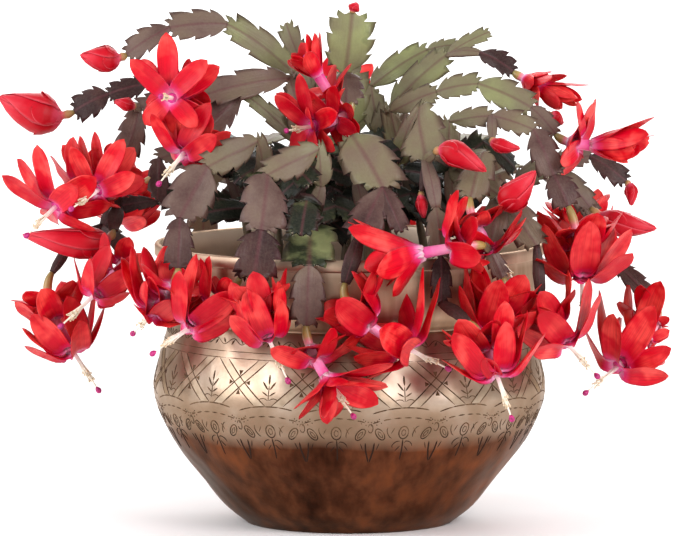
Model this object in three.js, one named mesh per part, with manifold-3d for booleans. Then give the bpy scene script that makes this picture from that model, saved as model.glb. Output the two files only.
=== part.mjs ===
// A christmas cactus (Schlumbergera) in bloom, in an engraved brass bowl. Millimetres, +Z up.
// The origin is the centre of the bowl's flat base, and -Y is the side that the plant shows best.
import * as THREE from "three";
import { mergeVertices } from "three/addons/utils/BufferGeometryUtils.js";
import Module from "manifold-3d";

const { Vector3 } = THREE;
const wasm = await Module();
wasm.setup();

// Bowl: sheet brass, raised to a wide belly with a waist, a straight collar and a turned-out lip.
const BASE_RADIUS = 74;
const BELLY_RADIUS = 140;
const BELLY_HEIGHT = 96;
const WAIST_RADIUS = 125.5;
const WAIST_HEIGHT = 147;
const COLLAR_RADIUS = 136.5;
const LIP_RADIUS = 139;
const LIP_DROP = 9;
const POT_HEIGHT = 200;
const SHEET = 3;
const POT_SIDES = 30;

// Soil: fills the bowl, with a plain hole for each stem.
const SOIL_HEIGHT = 172;
const HOLE_DEPTH = 13;
const CLEARANCE = 0.3;

// Stems: a woody foot, then flat jointed segments with three pairs of teeth.
const FOOT_RADIUS = 4.4;
const FOOT_RISE = 14;
const RIB_THICKNESS = 2.6;
const STALK_WIDTH = 12;
const SEGMENT_BOW = 0.07;

// Flowers: an ovary, a tube, petals, and a style that stands out of the mouth.
const OVARY_RADIUS = 3.2;
const TUBE_RADIUS = 4.6;
const PETAL_THICKNESS = 1.1;
const STYLE_LENGTH = 29;
const TWIN_SPACING = 7;
const FLOWER_SIDES = 5;
const BUD_SIDES = 8;

// Half outline of a segment, base to tip: [share of its length, share of its half width].
const TOOTHED_RIM = [
  [0, 0.22],
  [0.12, 0.6],
  [0.29, 0.94],
  [0.35, 0.74],
  [0.58, 1],
  [0.64, 0.78],
  [0.96, 0.76],
];
const STALK_RIM = [
  [0, 0.6],
  [0.5, 1],
];
const RIB_STEPS = [0, 0.5];

const FINISH = {
  brass: { color: 0xb39b7e, roughness: 0.38, metalness: 1 },
  soil: { color: 0x3a2a20, roughness: 1, metalness: 0 },
  leaf: { color: 0x70725a, roughness: 0.5, metalness: 0 },
  petal: { color: 0xe8141c, roughness: 0.45, metalness: 0 },
  bud: { color: 0xf0405c, roughness: 0.45, metalness: 0 },
};

// Where each stem roots, and its runs of segments. A run's joints go from the plant's heart outwards,
// and a later run starts on a joint of an earlier one. widths has one number for each segment, face is
// the way its flat side looks (or hinge the way across it), and tips are the flowers at its end: a bloom
// with its mouth, the length of its petals and how far they curl back in degrees, or a bud with its end
// and its girth radius.
const STEMS = {
  stem_left_arch: {
    root: [-25, 8],
    runs: [
      {
        joints: [
          [-24, 6, 218], [-27, 3, 251], [-31, 0, 283], [-40, -5, 321], [-87, -20, 356],
          [-127, -30, 354], [-157, -35, 336],
        ],
        widths: [12, 26, 27, 25, 27, 22],
        face: [0, -0.8, 0.6],
        tips: [
          { bud: "bud_left_top", end: [-190, -40, 334], girth: 7 },
        ],
      },
      {
        joints: [[-31, 0, 283], [-29, 18, 316], [-45, 28, 354]],
        widths: [24, 17],
        face: [-0.3, -1, 0.2],
      },
    ],
  },
  stem_left_high: {
    root: [-45, -30],
    runs: [
      {
        joints: [[-41, -34, 222], [-34, -38, 247], [-33, -42, 272], [-75, -48, 309], [-101, -66, 286]],
        widths: [12, 22, 15, 27],
        face: [0, -0.8, 0.4],
        tips: [
          { bloom: "bloom_left_upper", mouth: [-116, -80, 270], petal: 24, curl: 135 },
        ],
      },
      {
        joints: [[-33, -42, 272], [-43, -36, 319], [-103, -60, 308]],
        widths: [24, 26],
        face: [0, -0.8, 0.6],
        tips: [
          { bloom: "bloom_left_top", mouth: [-124, -88, 309], petal: 30, curl: 95 },
        ],
      },
    ],
  },
  stem_left_dark: {
    root: [-70, 12],
    runs: [
      {
        joints: [
          [-75, 14, 218], [-87, 10, 250], [-101, 2, 281], [-123, -6, 302], [-144, -12, 313],
          [-171, -15, 306], [-195, -15, 294],
        ],
        widths: [12, 22, 20, 18, 20, 25],
        face: [0, -0.8, 0.6],
        tips: [
          { bud: "bud_left_tip", end: [-249, -15, 302], girth: 14 },
        ],
      },
      {
        joints: [[-149, -25, 297], [-152, -34, 299]],
        widths: [8],
        face: [0, -1, 0.2],
        tips: [
          { bud: "bud_left_small", end: [-166, -38, 303], girth: 4.5 },
        ],
      },
      {
        joints: [[-123, -6, 302], [-149, -25, 297], [-159, -36, 263]],
        widths: [20, 22],
        face: [0.2, -1, 0.2],
        tips: [
          { bloom: "bloom_left_inner", mouth: [-177, -60, 242], petal: 25, curl: 120 },
        ],
      },
      {
        joints: [
          [-87, 10, 250], [-111, 12, 265], [-135, 5, 259], [-137, 0, 229], [-165, -12, 226],
          [-175, -10, 212],
        ],
        widths: [12, 20, 20, 14, 12],
        face: [0, -1, 0.3],
      },
      {
        joints: [[-165, -12, 226], [-167, -32, 211]],
        widths: [12],
        face: [0, -1, 0.3],
        tips: [
          { bud: "bud_left_long", end: [-231, -44, 207], girth: 9 },
        ],
      },
      {
        joints: [[-165, -12, 226], [-172, -22, 243]],
        widths: [12],
        face: [0, -1, 0.3],
        tips: [
          { bloom: "bloom_left_outer", mouth: [-209, -40, 229], petal: 29, curl: 130 },
        ],
      },
      {
        joints: [[-175, -10, 212], [-198, -14, 199], [-211, -22, 180]],
        widths: [9, 8],
        face: [0, -1, 0.3],
        tips: [
          { bloom: "bloom_left_hanging", mouth: [-198, -30, 127], petal: 27, curl: 120 },
        ],
      },
      {
        joints: [[-175, -10, 212], [-159, -40, 199]],
        widths: [14],
        face: [0, -1, 0.3],
        tips: [
          { bloom: "bloom_left_rim", mouth: [-180, -66, 168], petal: 23, curl: 130 },
        ],
      },
    ],
  },
  stem_left_front: {
    root: [-62, -48],
    runs: [
      {
        joints: [
          [-61, -56, 219], [-60, -66, 248], [-65, -82, 278], [-99, -98, 261], [-118, -112, 227],
          [-119, -126, 193],
        ],
        widths: [12, 22, 24, 36, 22],
        face: [0, -1, 0.3],
        tips: [
          { bloom: "bloom_left_low", mouth: [-135, -112, 163], petal: 27, curl: 125 },
        ],
      },
    ],
  },
  stem_front_left: {
    root: [-32, -82],
    runs: [
      {
        joints: [
          [-27, -92, 222], [-20, -98, 248], [-22, -102, 274], [-57, -118, 257], [-61, -142, 221],
          [-66, -152, 189],
        ],
        widths: [12, 22, 25, 36, 33],
        face: [0, -1, 0.25],
        tips: [
          { bloom: "bloom_front_left", mouth: [-56, -160, 148], petal: 27, curl: 145 },
        ],
      },
      {
        joints: [[-61, -142, 221], [-76, -130, 187]],
        widths: [14],
        face: [0, -1, 0.25],
        tips: [
          { bloom: "bloom_front_far_left", mouth: [-111, -138, 153], petal: 28, curl: 140 },
        ],
      },
      {
        joints: [[-27, -92, 222], [-28, -147, 197], [-30, -152, 156]],
        widths: [40, 26],
        face: [0, -1, 0.3],
        tips: [
          { bloom: "bloom_front_low", mouth: [-15, -168, 120], petal: 28, curl: 75 },
        ],
      },
    ],
  },
  stem_top: {
    root: [-3, -8],
    runs: [
      {
        joints: [[0, -8, 220], [-2, -6, 250], [-3, -5, 280], [-3, -3, 321], [2, -3, 363]],
        widths: [12, 28, 36, 36],
        face: [0.1, -1, 0.2],
        tips: [
          { bud: "bud_top", end: [6, -3, 371], girth: 4 },
        ],
      },
      {
        joints: [[-3, -3, 321], [-2, -34, 301]],
        widths: [27],
        face: [0, -0.8, 0.6],
        tips: [
          { bloom: "bloom_centre_upper", mouth: [-24, -46, 325], petal: 24, curl: 60 },
          { bloom: "bloom_centre_lower", mouth: [-22, -74, 287], petal: 25, curl: 80 },
        ],
      },
    ],
  },
  stem_front_centre: {
    root: [15, -65],
    runs: [
      {
        joints: [[12, -70, 220], [5, -78, 251], [2, -84, 282]],
        widths: [12, 24],
        face: [0, -1, 0.2],
      },
      {
        joints: [[2, -84, 282], [23, -112, 248], [7, -136, 216], [-3, -150, 185]],
        widths: [40, 30, 12],
        face: [0, -1, 0.3],
        tips: [
          { bloom: "bloom_front_centre", mouth: [26, -160, 143], petal: 30, curl: 135 },
        ],
      },
      {
        joints: [[23, -112, 248], [36, -136, 220]],
        widths: [16],
        face: [0, -1, 0.3],
      },
      {
        joints: [[12, -70, 220], [33, -64, 260], [50, -74, 300], [53, -98, 266], [50, -106, 245]],
        widths: [12, 22, 36, 5],
        face: [0, -1, 0.4],
        tips: [
          { bud: "bud_centre_small", end: [52, -112, 227], girth: 4 },
        ],
      },
      {
        joints: [[53, -98, 266], [60, -115, 234], [63, -134, 202], [63, -138, 170]],
        widths: [12, 20, 17],
        face: [0.2, -1, 0.2],
      },
      {
        joints: [[63, -138, 170], [82, -160, 159]],
        widths: [10],
        face: [0.2, -1, 0.2],
        tips: [
          { bloom: "bloom_front_right_low", mouth: [101, -176, 125], petal: 27, curl: 125 },
        ],
      },
      {
        joints: [[53, -98, 266], [59, -106, 272]],
        widths: [8],
        face: [0, -1, 0.2],
        tips: [
          { bud: "bud_right_front", end: [95, -118, 260], girth: 9 },
        ],
      },
    ],
  },
  stem_right_arch: {
    root: [30, 18],
    runs: [
      {
        joints: [[26, 17, 217], [22, 16, 246], [21, 15, 275], [30, 12, 295], [70, 5, 333], [100, 5, 349]],
        widths: [12, 22, 22, 24, 14],
        face: [0, -0.8, 0.6],
      },
      {
        joints: [[21, 15, 275], [16, 30, 309], [56, 24, 335], [78, 18, 339]],
        widths: [22, 22, 14],
        face: [0, -0.8, 0.6],
      },
      {
        joints: [[70, 5, 333], [93, -8, 335], [116, -16, 322]],
        widths: [10, 22],
        face: [0, -0.6, 0.8],
        tips: [
          { bloom: "bloom_right_top", mouth: [139, -24, 309], petal: 18, curl: 60 },
        ],
      },
    ],
  },
  stem_right_high: {
    root: [55, -12],
    runs: [
      {
        joints: [
          [49, -14, 220], [39, -18, 256], [30, -26, 295], [62, -34, 309], [91, -40, 315],
          [128, -50, 299], [145, -57, 281],
        ],
        widths: [12, 22, 20, 22, 26, 16],
        face: [0, -0.8, 0.6],
        tips: [
          { bloom: "bloom_right_upper", mouth: [170, -68, 277], petal: 28, curl: 75 },
        ],
      },
      {
        joints: [[128, -50, 299], [139, -42, 294]],
        widths: [8],
        face: [0, -1, 0.2],
        tips: [
          { bud: "bud_right_small", end: [151, -36, 287], girth: 4.5 },
        ],
      },
    ],
  },
  stem_right_front: {
    root: [82, -46],
    runs: [
      {
        joints: [
          [74, -52, 224], [71, -54, 257], [71, -54, 290], [100, -62, 294], [129, -68, 285],
          [143, -80, 254], [153, -88, 233],
        ],
        widths: [12, 22, 18, 20, 25, 24],
        face: [0, -0.8, 0.5],
        tips: [
          { bloom: "bloom_right_centre", mouth: [162, -98, 185], petal: 30, curl: 125 },
        ],
      },
      {
        joints: [[71, -54, 257], [94, -88, 270], [84, -112, 241]],
        widths: [14, 27],
        face: [0, -1, 0.3],
        tips: [
          { bloom: "bloom_right_inner", mouth: [81, -123, 224], petal: 15, curl: 110 },
        ],
      },
      {
        joints: [[71, -54, 257], [105, -98, 241], [130, -116, 208], [133, -122, 171]],
        widths: [22, 26, 9],
        face: [0, -1, 0.3],
        tips: [
          { bloom: "bloom_right_low_small", mouth: [146, -128, 146], petal: 20, curl: 120 },
        ],
      },
      {
        joints: [[105, -98, 241], [97, -128, 207], [106, -130, 187]],
        widths: [20, 14],
        face: [0, -1, 0.2],
        tips: [
          { bloom: "bloom_front_right", mouth: [107, -134, 151], petal: 24, curl: 135 },
        ],
      },
      {
        joints: [[97, -128, 207], [93, -140, 210]],
        widths: [8],
        face: [0, -1, 0.2],
        tips: [
          { bloom: "bloom_front_wide", mouth: [42, -156, 210], petal: 30, curl: 130 },
        ],
      },
      {
        joints: [[105, -98, 241], [106, -112, 237]],
        widths: [8],
        face: [0, -1, 0.2],
        tips: [
          { bud: "bud_right_round", end: [127, -124, 259], girth: 9 },
        ],
      },
      {
        joints: [[100, -62, 294], [100, -80, 280]],
        widths: [8],
        face: [0, -1, 0.2],
        tips: [
          { bud: "bud_right_inner", end: [119, -92, 274], girth: 5 },
        ],
      },
    ],
  },
  stem_right_side: {
    root: [100, 25],
    runs: [
      {
        joints: [[102, 26, 217], [119, 22, 239], [145, 14, 254], [172, 8, 260], [197, 0, 243]],
        widths: [12, 22, 20, 20],
        face: [0, -0.8, 0.6],
        tips: [
          { bud: "bud_right_tip", end: [201, -3, 226], girth: 4.5 },
        ],
      },
      {
        joints: [[145, 14, 254], [172, 4, 224]],
        widths: [20],
        face: [0, -1, 0.4],
        tips: [
          { bud: "bud_right_long", end: [219, -6, 210], girth: 9 },
        ],
      },
      {
        joints: [[145, 14, 254], [177, 24, 215], [191, 14, 183], [216, 0, 158]],
        widths: [16, 16, 16],
        face: [0, -1, 0.4],
        tips: [
          { bloom: "bloom_right_outer", mouth: [192, -16, 126], petal: 29, curl: 130 },
        ],
      },
    ],
  },
  stem_back_left: {
    root: [-50, 52],
    runs: [
      {
        joints: [[-54, 66, 222], [-62, 92, 262], [-82, 124, 262], [-104, 146, 228], [-108, 154, 190]],
        widths: [12, 28, 30, 28],
        hinge: [-1, -0.4, 0],
        tips: [
          { bloom: "bloom_back_far_left", mouth: [-112, 164, 140], petal: 28, curl: 140 },
        ],
      },
      {
        joints: [[-62, 92, 262], [-34, 128, 268], [-22, 156, 238], [-26, 164, 200]],
        widths: [28, 28, 26],
        hinge: [-1, 0.4, 0],
        tips: [
          { bloom: "bloom_back_left", mouth: [-34, 172, 150], petal: 28, curl: 140 },
        ],
      },
      {
        joints: [[-54, 66, 222], [-100, 84, 250], [-140, 96, 238]],
        widths: [26, 28],
        hinge: [-0.4, -1, 0],
        tips: [
          { bloom: "bloom_side_left", mouth: [-168, 104, 206], petal: 27, curl: 125 },
        ],
      },
    ],
  },
  stem_back: {
    root: [12, 62],
    runs: [
      {
        joints: [[14, 76, 224], [22, 98, 268], [30, 128, 286], [36, 154, 256], [38, 164, 214]],
        widths: [12, 28, 30, 28],
        hinge: [-1, 0.2, 0],
        tips: [
          { bloom: "bloom_back_centre", mouth: [36, 172, 166], petal: 28, curl: 140 },
        ],
      },
      {
        joints: [[14, 76, 224], [5, 64, 272], [0, 72, 320], [-2, 106, 338], [-4, 138, 314]],
        widths: [12, 28, 28, 26],
        hinge: [-1, -0.1, 0],
        tips: [
          { bloom: "bloom_back_high", mouth: [-6, 160, 274], petal: 27, curl: 130 },
        ],
      },
    ],
  },
  stem_back_right: {
    root: [68, 44],
    runs: [
      {
        joints: [[74, 60, 222], [84, 86, 264], [98, 118, 266], [112, 140, 232], [114, 148, 192]],
        widths: [12, 28, 30, 28],
        hinge: [-1, 0.3, 0],
        tips: [
          { bloom: "bloom_back_far_right", mouth: [118, 158, 144], petal: 28, curl: 140 },
        ],
      },
      {
        joints: [[74, 60, 222], [122, 78, 248], [156, 94, 226]],
        widths: [26, 28],
        hinge: [-0.4, 1, 0],
        tips: [
          { bloom: "bloom_side_right", mouth: [172, 100, 180], petal: 27, curl: 130 },
        ],
      },
    ],
  },
};

// The start, moved by an amount of each vector.
function moved(start, ...steps) {
  return steps.reduce((point, [vector, amount]) => point.addScaledVector(vector, amount), start.clone());
}

function vector([x, y, z]) {
  return new Vector3(x, y, z);
}

function radians(degrees) {
  return (degrees * Math.PI) / 180;
}

// A closed body from its points and its triangles, which run anticlockwise seen from outside.
function solidOf(points, triangles) {
  return new wasm.Manifold(
    new wasm.Mesh({
      numProp: 3,
      vertProperties: new Float32Array(points.flatMap((point) => point.toArray())),
      triVerts: new Uint32Array(triangles.flat()),
    }),
  );
}

function solidOfGeometry(geometry) {
  geometry.deleteAttribute("normal");
  geometry.deleteAttribute("uv");
  const merged = mergeVertices(geometry, 1e-4);
  return new wasm.Manifold(
    new wasm.Mesh({
      numProp: 3,
      vertProperties: merged.attributes.position.array,
      triVerts: new Uint32Array(merged.index.array),
    }),
  );
}

function meshOf(name, solid, finish) {
  const { vertProperties, triVerts } = solid.getMesh();
  const geometry = new THREE.BufferGeometry();
  geometry.setAttribute("position", new THREE.BufferAttribute(vertProperties, 3));
  geometry.setIndex(new THREE.BufferAttribute(triVerts, 1));
  geometry.computeVertexNormals();
  const mesh = new THREE.Mesh(geometry, new THREE.MeshStandardMaterial(FINISH[finish]));
  mesh.name = name;
  return mesh;
}

function quad(a, b, c, d) {
  return [
    [a, b, c],
    [a, c, d],
  ];
}

// Rings of corners round a line: [way along it, radius, turn in sides]. A way past 1 runs on straight.
// Returns the ring corners with the frame that each ring was drawn in.
function ringsOn(line, rings, sides) {
  const end = line.getPoint(1);
  const length = line.getLength();
  let across = null;
  return rings.map(([way, radius, turn = 0]) => {
    const ahead = line.getTangent(Math.min(way, 1));
    const centre = way <= 1 ? line.getPoint(way) : moved(end, [ahead, (way - 1) * length]);
    across ??= Math.abs(ahead.x) < 0.8 ? new Vector3(1, 0, 0) : new Vector3(0, 1, 0);
    across.addScaledVector(ahead, -across.dot(ahead)).normalize();
    const upward = ahead.clone().cross(across);
    const corners = Array.from({ length: sides }, (_, k) => {
      const angle = (2 * Math.PI * (k + turn)) / sides;
      return moved(centre, [across, radius * Math.cos(angle)], [upward, radius * Math.sin(angle)]);
    });
    return { centre, ahead: ahead.clone(), corners };
  });
}

// A closed tube through rings. Where grow is given, it may put a petal in place of a side: it gets the
// ring and side numbers and returns the sections that the side is drawn out to, or nothing.
function tubeThrough(rings, grow = () => null) {
  const points = rings.flatMap((ring) => ring.corners);
  const sides = rings[0].corners.length;
  const corner = (ring, side) => ring * sides + (side % sides);
  const triangles = [];
  for (let ring = 0; ring < rings.length - 1; ring += 1) {
    for (let side = 0; side < sides; side += 1) {
      let root = [
        corner(ring, side),
        corner(ring, side + 1),
        corner(ring + 1, side + 1),
        corner(ring + 1, side),
      ];
      for (const section of grow(ring, side, root.map((id) => points[id])) ?? []) {
        const next = section.map((point) => points.push(point) - 1);
        for (let k = 0; k < 4; k += 1) {
          const m = (k + 1) % 4;
          triangles.push(...quad(root[k], root[m], next[m], next[k]));
        }
        root = next;
      }
      triangles.push(...quad(...root));
    }
  }
  const last = rings.length - 1;
  for (let side = 1; side < sides - 1; side += 1) {
    triangles.push([corner(0, 0), corner(0, side + 1), corner(0, side)]);
    triangles.push([corner(last, 0), corner(last, side), corner(last, side + 1)]);
  }
  return solidOf(points, triangles);
}

// Triangles between a rib and a rim, both running from base to tip.
function webBetween(rib, rim, turned) {
  const triangles = [];
  let i = 0;
  let j = 0;
  while (i < rib.length - 1 || j < rim.length - 1) {
    const ribIsNext = j === rim.length - 1 || (i < rib.length - 1 && rib[i + 1].way <= rim[j + 1].way);
    const corners = ribIsNext ? [rib[i], rib[i + 1], rim[j]] : [rib[i], rim[j + 1], rim[j]];
    const triangle = corners.map((corner) => corner.id);
    triangles.push(turned ? triangle.reverse() : triangle);
    if (ribIsNext) i += 1;
    else j += 1;
  }
  return triangles;
}

// A leafy blade: a rib on both faces, thinning to one rim. place(way, across, out) gives its points.
function bladeOf(rim, rib, place) {
  const points = [];
  const row = (list, at) =>
    list.map(([way, size]) => ({ way, id: points.push(at(way, size)) - 1 }));
  const top = row(rib, (way, half) => place(way, 0, half));
  const under = row(rib, (way, half) => place(way, 0, -half));
  const right = row(rim, (way, half) => place(way, half, 0));
  const left = row(rim, (way, half) => place(way, -half, 0));
  const ends = [top, right, under, left].map((list) => [list[0].id, list.at(-1).id]);
  const [[topBase, topTip], [rightBase, rightTip], [underBase, underTip], [leftBase, leftTip]] = ends;
  return solidOf(points, [
    ...webBetween(top, right, false),
    ...webBetween(top, left, true),
    ...webBetween(under, right, true),
    ...webBetween(under, left, false),
    ...quad(topBase, rightBase, underBase, leftBase),
    ...quad(topTip, leftTip, underTip, rightTip),
  ]);
}

// The frame at each joint of a run: where it is, the way ahead, across the blade and out of its face.
// A run that doubles back over its own top takes its across from a hinge line, so it never twists.
function jointFrames({ joints, face, hinge }) {
  const points = joints.map(vector);
  return points.map((at, i) => {
    const before = points[Math.max(i - 1, 0)];
    const after = points[Math.min(i + 1, points.length - 1)];
    const ahead = after.clone().sub(before).normalize();
    const across = hinge ? vector(hinge) : vector(face).cross(ahead);
    across.addScaledVector(ahead, -across.dot(ahead)).normalize();
    return { at, ahead, across, out: ahead.clone().cross(across) };
  });
}

// A run of segments in one piece, pinched at its joints.
function leafyRun(run) {
  const { widths } = run;
  const frames = jointFrames(run);
  const place = (way, across, out) => {
    const i = Math.min(Math.floor(way), widths.length - 1);
    const share = way - i;
    const [here, next] = [frames[i], frames[i + 1]];
    const length = here.at.distanceTo(next.at);
    const side = here.across.clone().lerp(next.across, share).normalize();
    const up = here.out.clone().lerp(next.out, share).normalize();
    const bow = SEGMENT_BOW * length * 4 * share * (1 - share);
    return moved(here.at.clone().lerp(next.at, share), [side, across], [up, out + bow]);
  };
  const rim = widths.flatMap((width, i) =>
    (width <= STALK_WIDTH ? STALK_RIM : TOOTHED_RIM).map(([way, half]) => [i + way, (half * width) / 2]),
  );
  const rib = widths.flatMap((_, i) => RIB_STEPS.map((way) => [i + way, RIB_THICKNESS / 2]));
  const tip = widths.length;
  return bladeOf([...rim, [tip, 2]], [...rib, [tip, RIB_THICKNESS / 2]], place);
}

// The straight foot of a stem, and the slant from it to the first joint.
function stemFoot([x, y], joint) {
  const bottom = SOIL_HEIGHT - HOLE_DEPTH + CLEARANCE;
  const points = [new Vector3(x, y, bottom), new Vector3(x, y, SOIL_HEIGHT + FOOT_RISE), vector(joint)];
  const [low, rise, top] = points;
  const foot = ringsOn(new THREE.LineCurve3(low, rise), [[0, FOOT_RADIUS], [1, FOOT_RADIUS]], 6);
  const slant = ringsOn(new THREE.LineCurve3(rise, top), [[1.07, 2.6]], 6);
  return tubeThrough([...foot, ...slant]);
}

function stemSolid({ root, runs }) {
  const parts = [stemFoot(root, runs[0].joints[0]), ...runs.map(leafyRun)];
  return parts.reduce((whole, part) => whole.add(part));
}

// Where a tip's flower starts: just off the last joint, and beside its twin where there are two.
function flowerFoot(run, index) {
  const { at, ahead, across } = jointFrames(run).at(-1);
  const twins = run.tips.length > 1;
  return { start: moved(at, [ahead, CLEARANCE], [across, twins ? (index - 0.5) * TWIN_SPACING : 0]), ahead };
}

function bendFrom(start, ahead, end) {
  const reach = start.distanceTo(end);
  return new THREE.QuadraticBezierCurve3(start, moved(start, [ahead, reach * 0.35]), end);
}

// How a petal widens to its tip: [share of its length, of its width, of its thickness].
const LONG_PETAL = [
  [0.36, 0.82, 1],
  [0.7, 1, 0.9],
  [1, 0.2, 0.6],
];
const SHORT_PETAL = [
  [0.55, 1, 1],
  [1, 0.25, 0.6],
];

// The sections of a petal that grows from a side of the flower's tube and curls outwards and back.
function petalSections(root, axis, { length, width, lift, curl, form }) {
  const centre = root.reduce((sum, point) => sum.add(point), new Vector3()).divideScalar(4);
  const across = root[1].clone().sub(root[0]).normalize();
  const outward = across.clone().cross(axis).normalize();
  const from = radians(lift);
  const turn = radians(curl);
  return form.map(([way, wide, thick]) => {
    const angle = from + turn * way;
    const middle = moved(
      centre,
      [axis, (length * (Math.sin(angle) - Math.sin(from))) / turn],
      [outward, (length * (Math.cos(from) - Math.cos(angle))) / turn],
    );
    const inner = moved(new Vector3(), [axis, Math.sin(angle)], [outward, -Math.cos(angle)]);
    const halfWidth = (wide * width) / 2;
    const halfThick = (thick * PETAL_THICKNESS) / 2;
    return [
      moved(middle, [across, -halfWidth], [inner, -halfThick]),
      moved(middle, [across, halfWidth], [inner, -halfThick]),
      moved(middle, [across, halfWidth], [inner, halfThick]),
      moved(middle, [across, -halfWidth], [inner, halfThick]),
    ];
  });
}

// A bloom: ovary, tube, an outer and an inner tier of petals, stamens, and the style with its stigma.
function bloomSolid({ start, ahead }, { mouth, petal, curl }) {
  const line = bendFrom(start, ahead, vector(mouth));
  const past = (reach) => 1 + reach / line.getLength();
  const rings = ringsOn(
    line,
    [
      [0, 2],
      [0.32, OVARY_RADIUS],
      [0.5, 3.6],
      [0.84, 3.9, 0.5],
      [1, TUBE_RADIUS, 0.5],
      [past(1), 2.2, 0.5],
      [past(STYLE_LENGTH * 0.6), 0.8, 0.5],
      [past(STYLE_LENGTH), 1.4, 0.5],
    ],
    FLOWER_SIDES,
  );
  const tiers = {
    1: { count: 4, length: petal * 0.62, width: petal * 0.4, lift: 35, curl: curl * 0.6, form: SHORT_PETAL },
    3: { count: 5, length: petal, width: petal * 0.46, lift: 25, curl, form: LONG_PETAL },
  };
  return tubeThrough(rings, (ring, side, root) => {
    const tier = tiers[ring];
    return tier && side < tier.count ? petalSections(root, rings[ring + 1].ahead, tier) : null;
  });
}

// A bud: an ovary, then folded petals that show as four ridges turning round it.
function budSolid({ start, ahead }, { end, girth }) {
  const line = bendFrom(start, ahead, vector(end));
  const rings = ringsOn(
    line,
    [
      [0, 1.6],
      [0.12, Math.min(OVARY_RADIUS, girth * 0.6)],
      [0.24, Math.min(2.6, girth * 0.5)],
      [0.5, girth * 0.95, 0.4],
      [0.76, girth * 0.9, 0.8],
      [1, 0.8, 1.2],
    ],
    BUD_SIDES,
  );
  for (const { centre, corners } of rings.slice(3, 5)) {
    corners.filter((_, k) => k % 2).forEach((point) => point.lerp(centre, 0.2));
  }
  return tubeThrough(rings);
}

function lathe(profile) {
  const points = profile.map(([radius, height]) => new THREE.Vector2(radius, height));
  const geometry = new THREE.LatheGeometry(points, POT_SIDES);
  geometry.rotateX(Math.PI / 2);
  return solidOfGeometry(geometry);
}

// The bowl's outside, from the base's edge to the foot of the collar.
const BELLY = [
  [BASE_RADIUS, 0],
  [BASE_RADIUS + 16, 13],
  [BELLY_RADIUS - 34, 33],
  [BELLY_RADIUS - 17, 55],
  [BELLY_RADIUS - 4, 79],
  [BELLY_RADIUS, BELLY_HEIGHT],
  [BELLY_RADIUS - 2.5, BELLY_HEIGHT + 16],
  [BELLY_RADIUS - 8, BELLY_HEIGHT + 34],
  [WAIST_RADIUS, WAIST_HEIGHT],
  [COLLAR_RADIUS - 2.5, WAIST_HEIGHT + 12],
];

// The bowl's inside below the collar, and the soil's outside when it is drawn in by the clearance.
function insideOf(inset) {
  const wall = BELLY.slice(2).map(([radius, height]) => [radius - inset, height]);
  return [[0, inset], [BASE_RADIUS - inset, inset], [BASE_RADIUS + 16 - inset, 13 + inset], ...wall];
}

function potSolid() {
  const inside = insideOf(SHEET).reverse();
  return lathe([
    [0, 0],
    ...BELLY,
    [COLLAR_RADIUS, WAIST_HEIGHT + 26],
    [COLLAR_RADIUS, POT_HEIGHT - LIP_DROP],
    [LIP_RADIUS, POT_HEIGHT - LIP_DROP + 0.5],
    [LIP_RADIUS, POT_HEIGHT - 1],
    [LIP_RADIUS - 1.5, POT_HEIGHT],
    [COLLAR_RADIUS - SHEET - 1, POT_HEIGHT],
    [COLLAR_RADIUS - SHEET, POT_HEIGHT - 2],
    [COLLAR_RADIUS - SHEET, WAIST_HEIGHT + 26],
    ...inside,
  ]);
}

function soilSolid() {
  const wall = insideOf(SHEET + CLEARANCE).slice(0, -1);
  const body = lathe([
    ...wall,
    [COLLAR_RADIUS - 2.5 - SHEET - CLEARANCE, WAIST_HEIGHT + 12],
    [COLLAR_RADIUS - SHEET - CLEARANCE - 0.8, SOIL_HEIGHT - 2],
    [COLLAR_RADIUS - 20, SOIL_HEIGHT],
    [0, SOIL_HEIGHT],
  ]);
  return Object.values(STEMS).reduce((soil, { root: [x, y] }) => {
    const hole = new THREE.LineCurve3(
      new Vector3(x, y, SOIL_HEIGHT - HOLE_DEPTH),
      new Vector3(x, y, SOIL_HEIGHT + 5),
    );
    const radius = FOOT_RADIUS + CLEARANCE * 1.2;
    return soil.subtract(tubeThrough(ringsOn(hole, [[0, radius], [1, radius]], 6)));
  }, body);
}

const group = new THREE.Group();
group.add(meshOf("pot", potSolid(), "brass"));
group.add(meshOf("soil", soilSolid(), "soil"));
for (const [name, stem] of Object.entries(STEMS)) {
  group.add(meshOf(name, stemSolid(stem), "leaf"));
  for (const run of stem.runs) {
    (run.tips ?? []).forEach((tip, index) => {
      const foot = flowerFoot(run, index);
      if (tip.bloom) group.add(meshOf(tip.bloom, bloomSolid(foot, tip), "petal"));
      else group.add(meshOf(tip.bud, budSolid(foot, tip), "bud"));
    });
  }
}

export default group;
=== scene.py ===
import math

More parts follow.
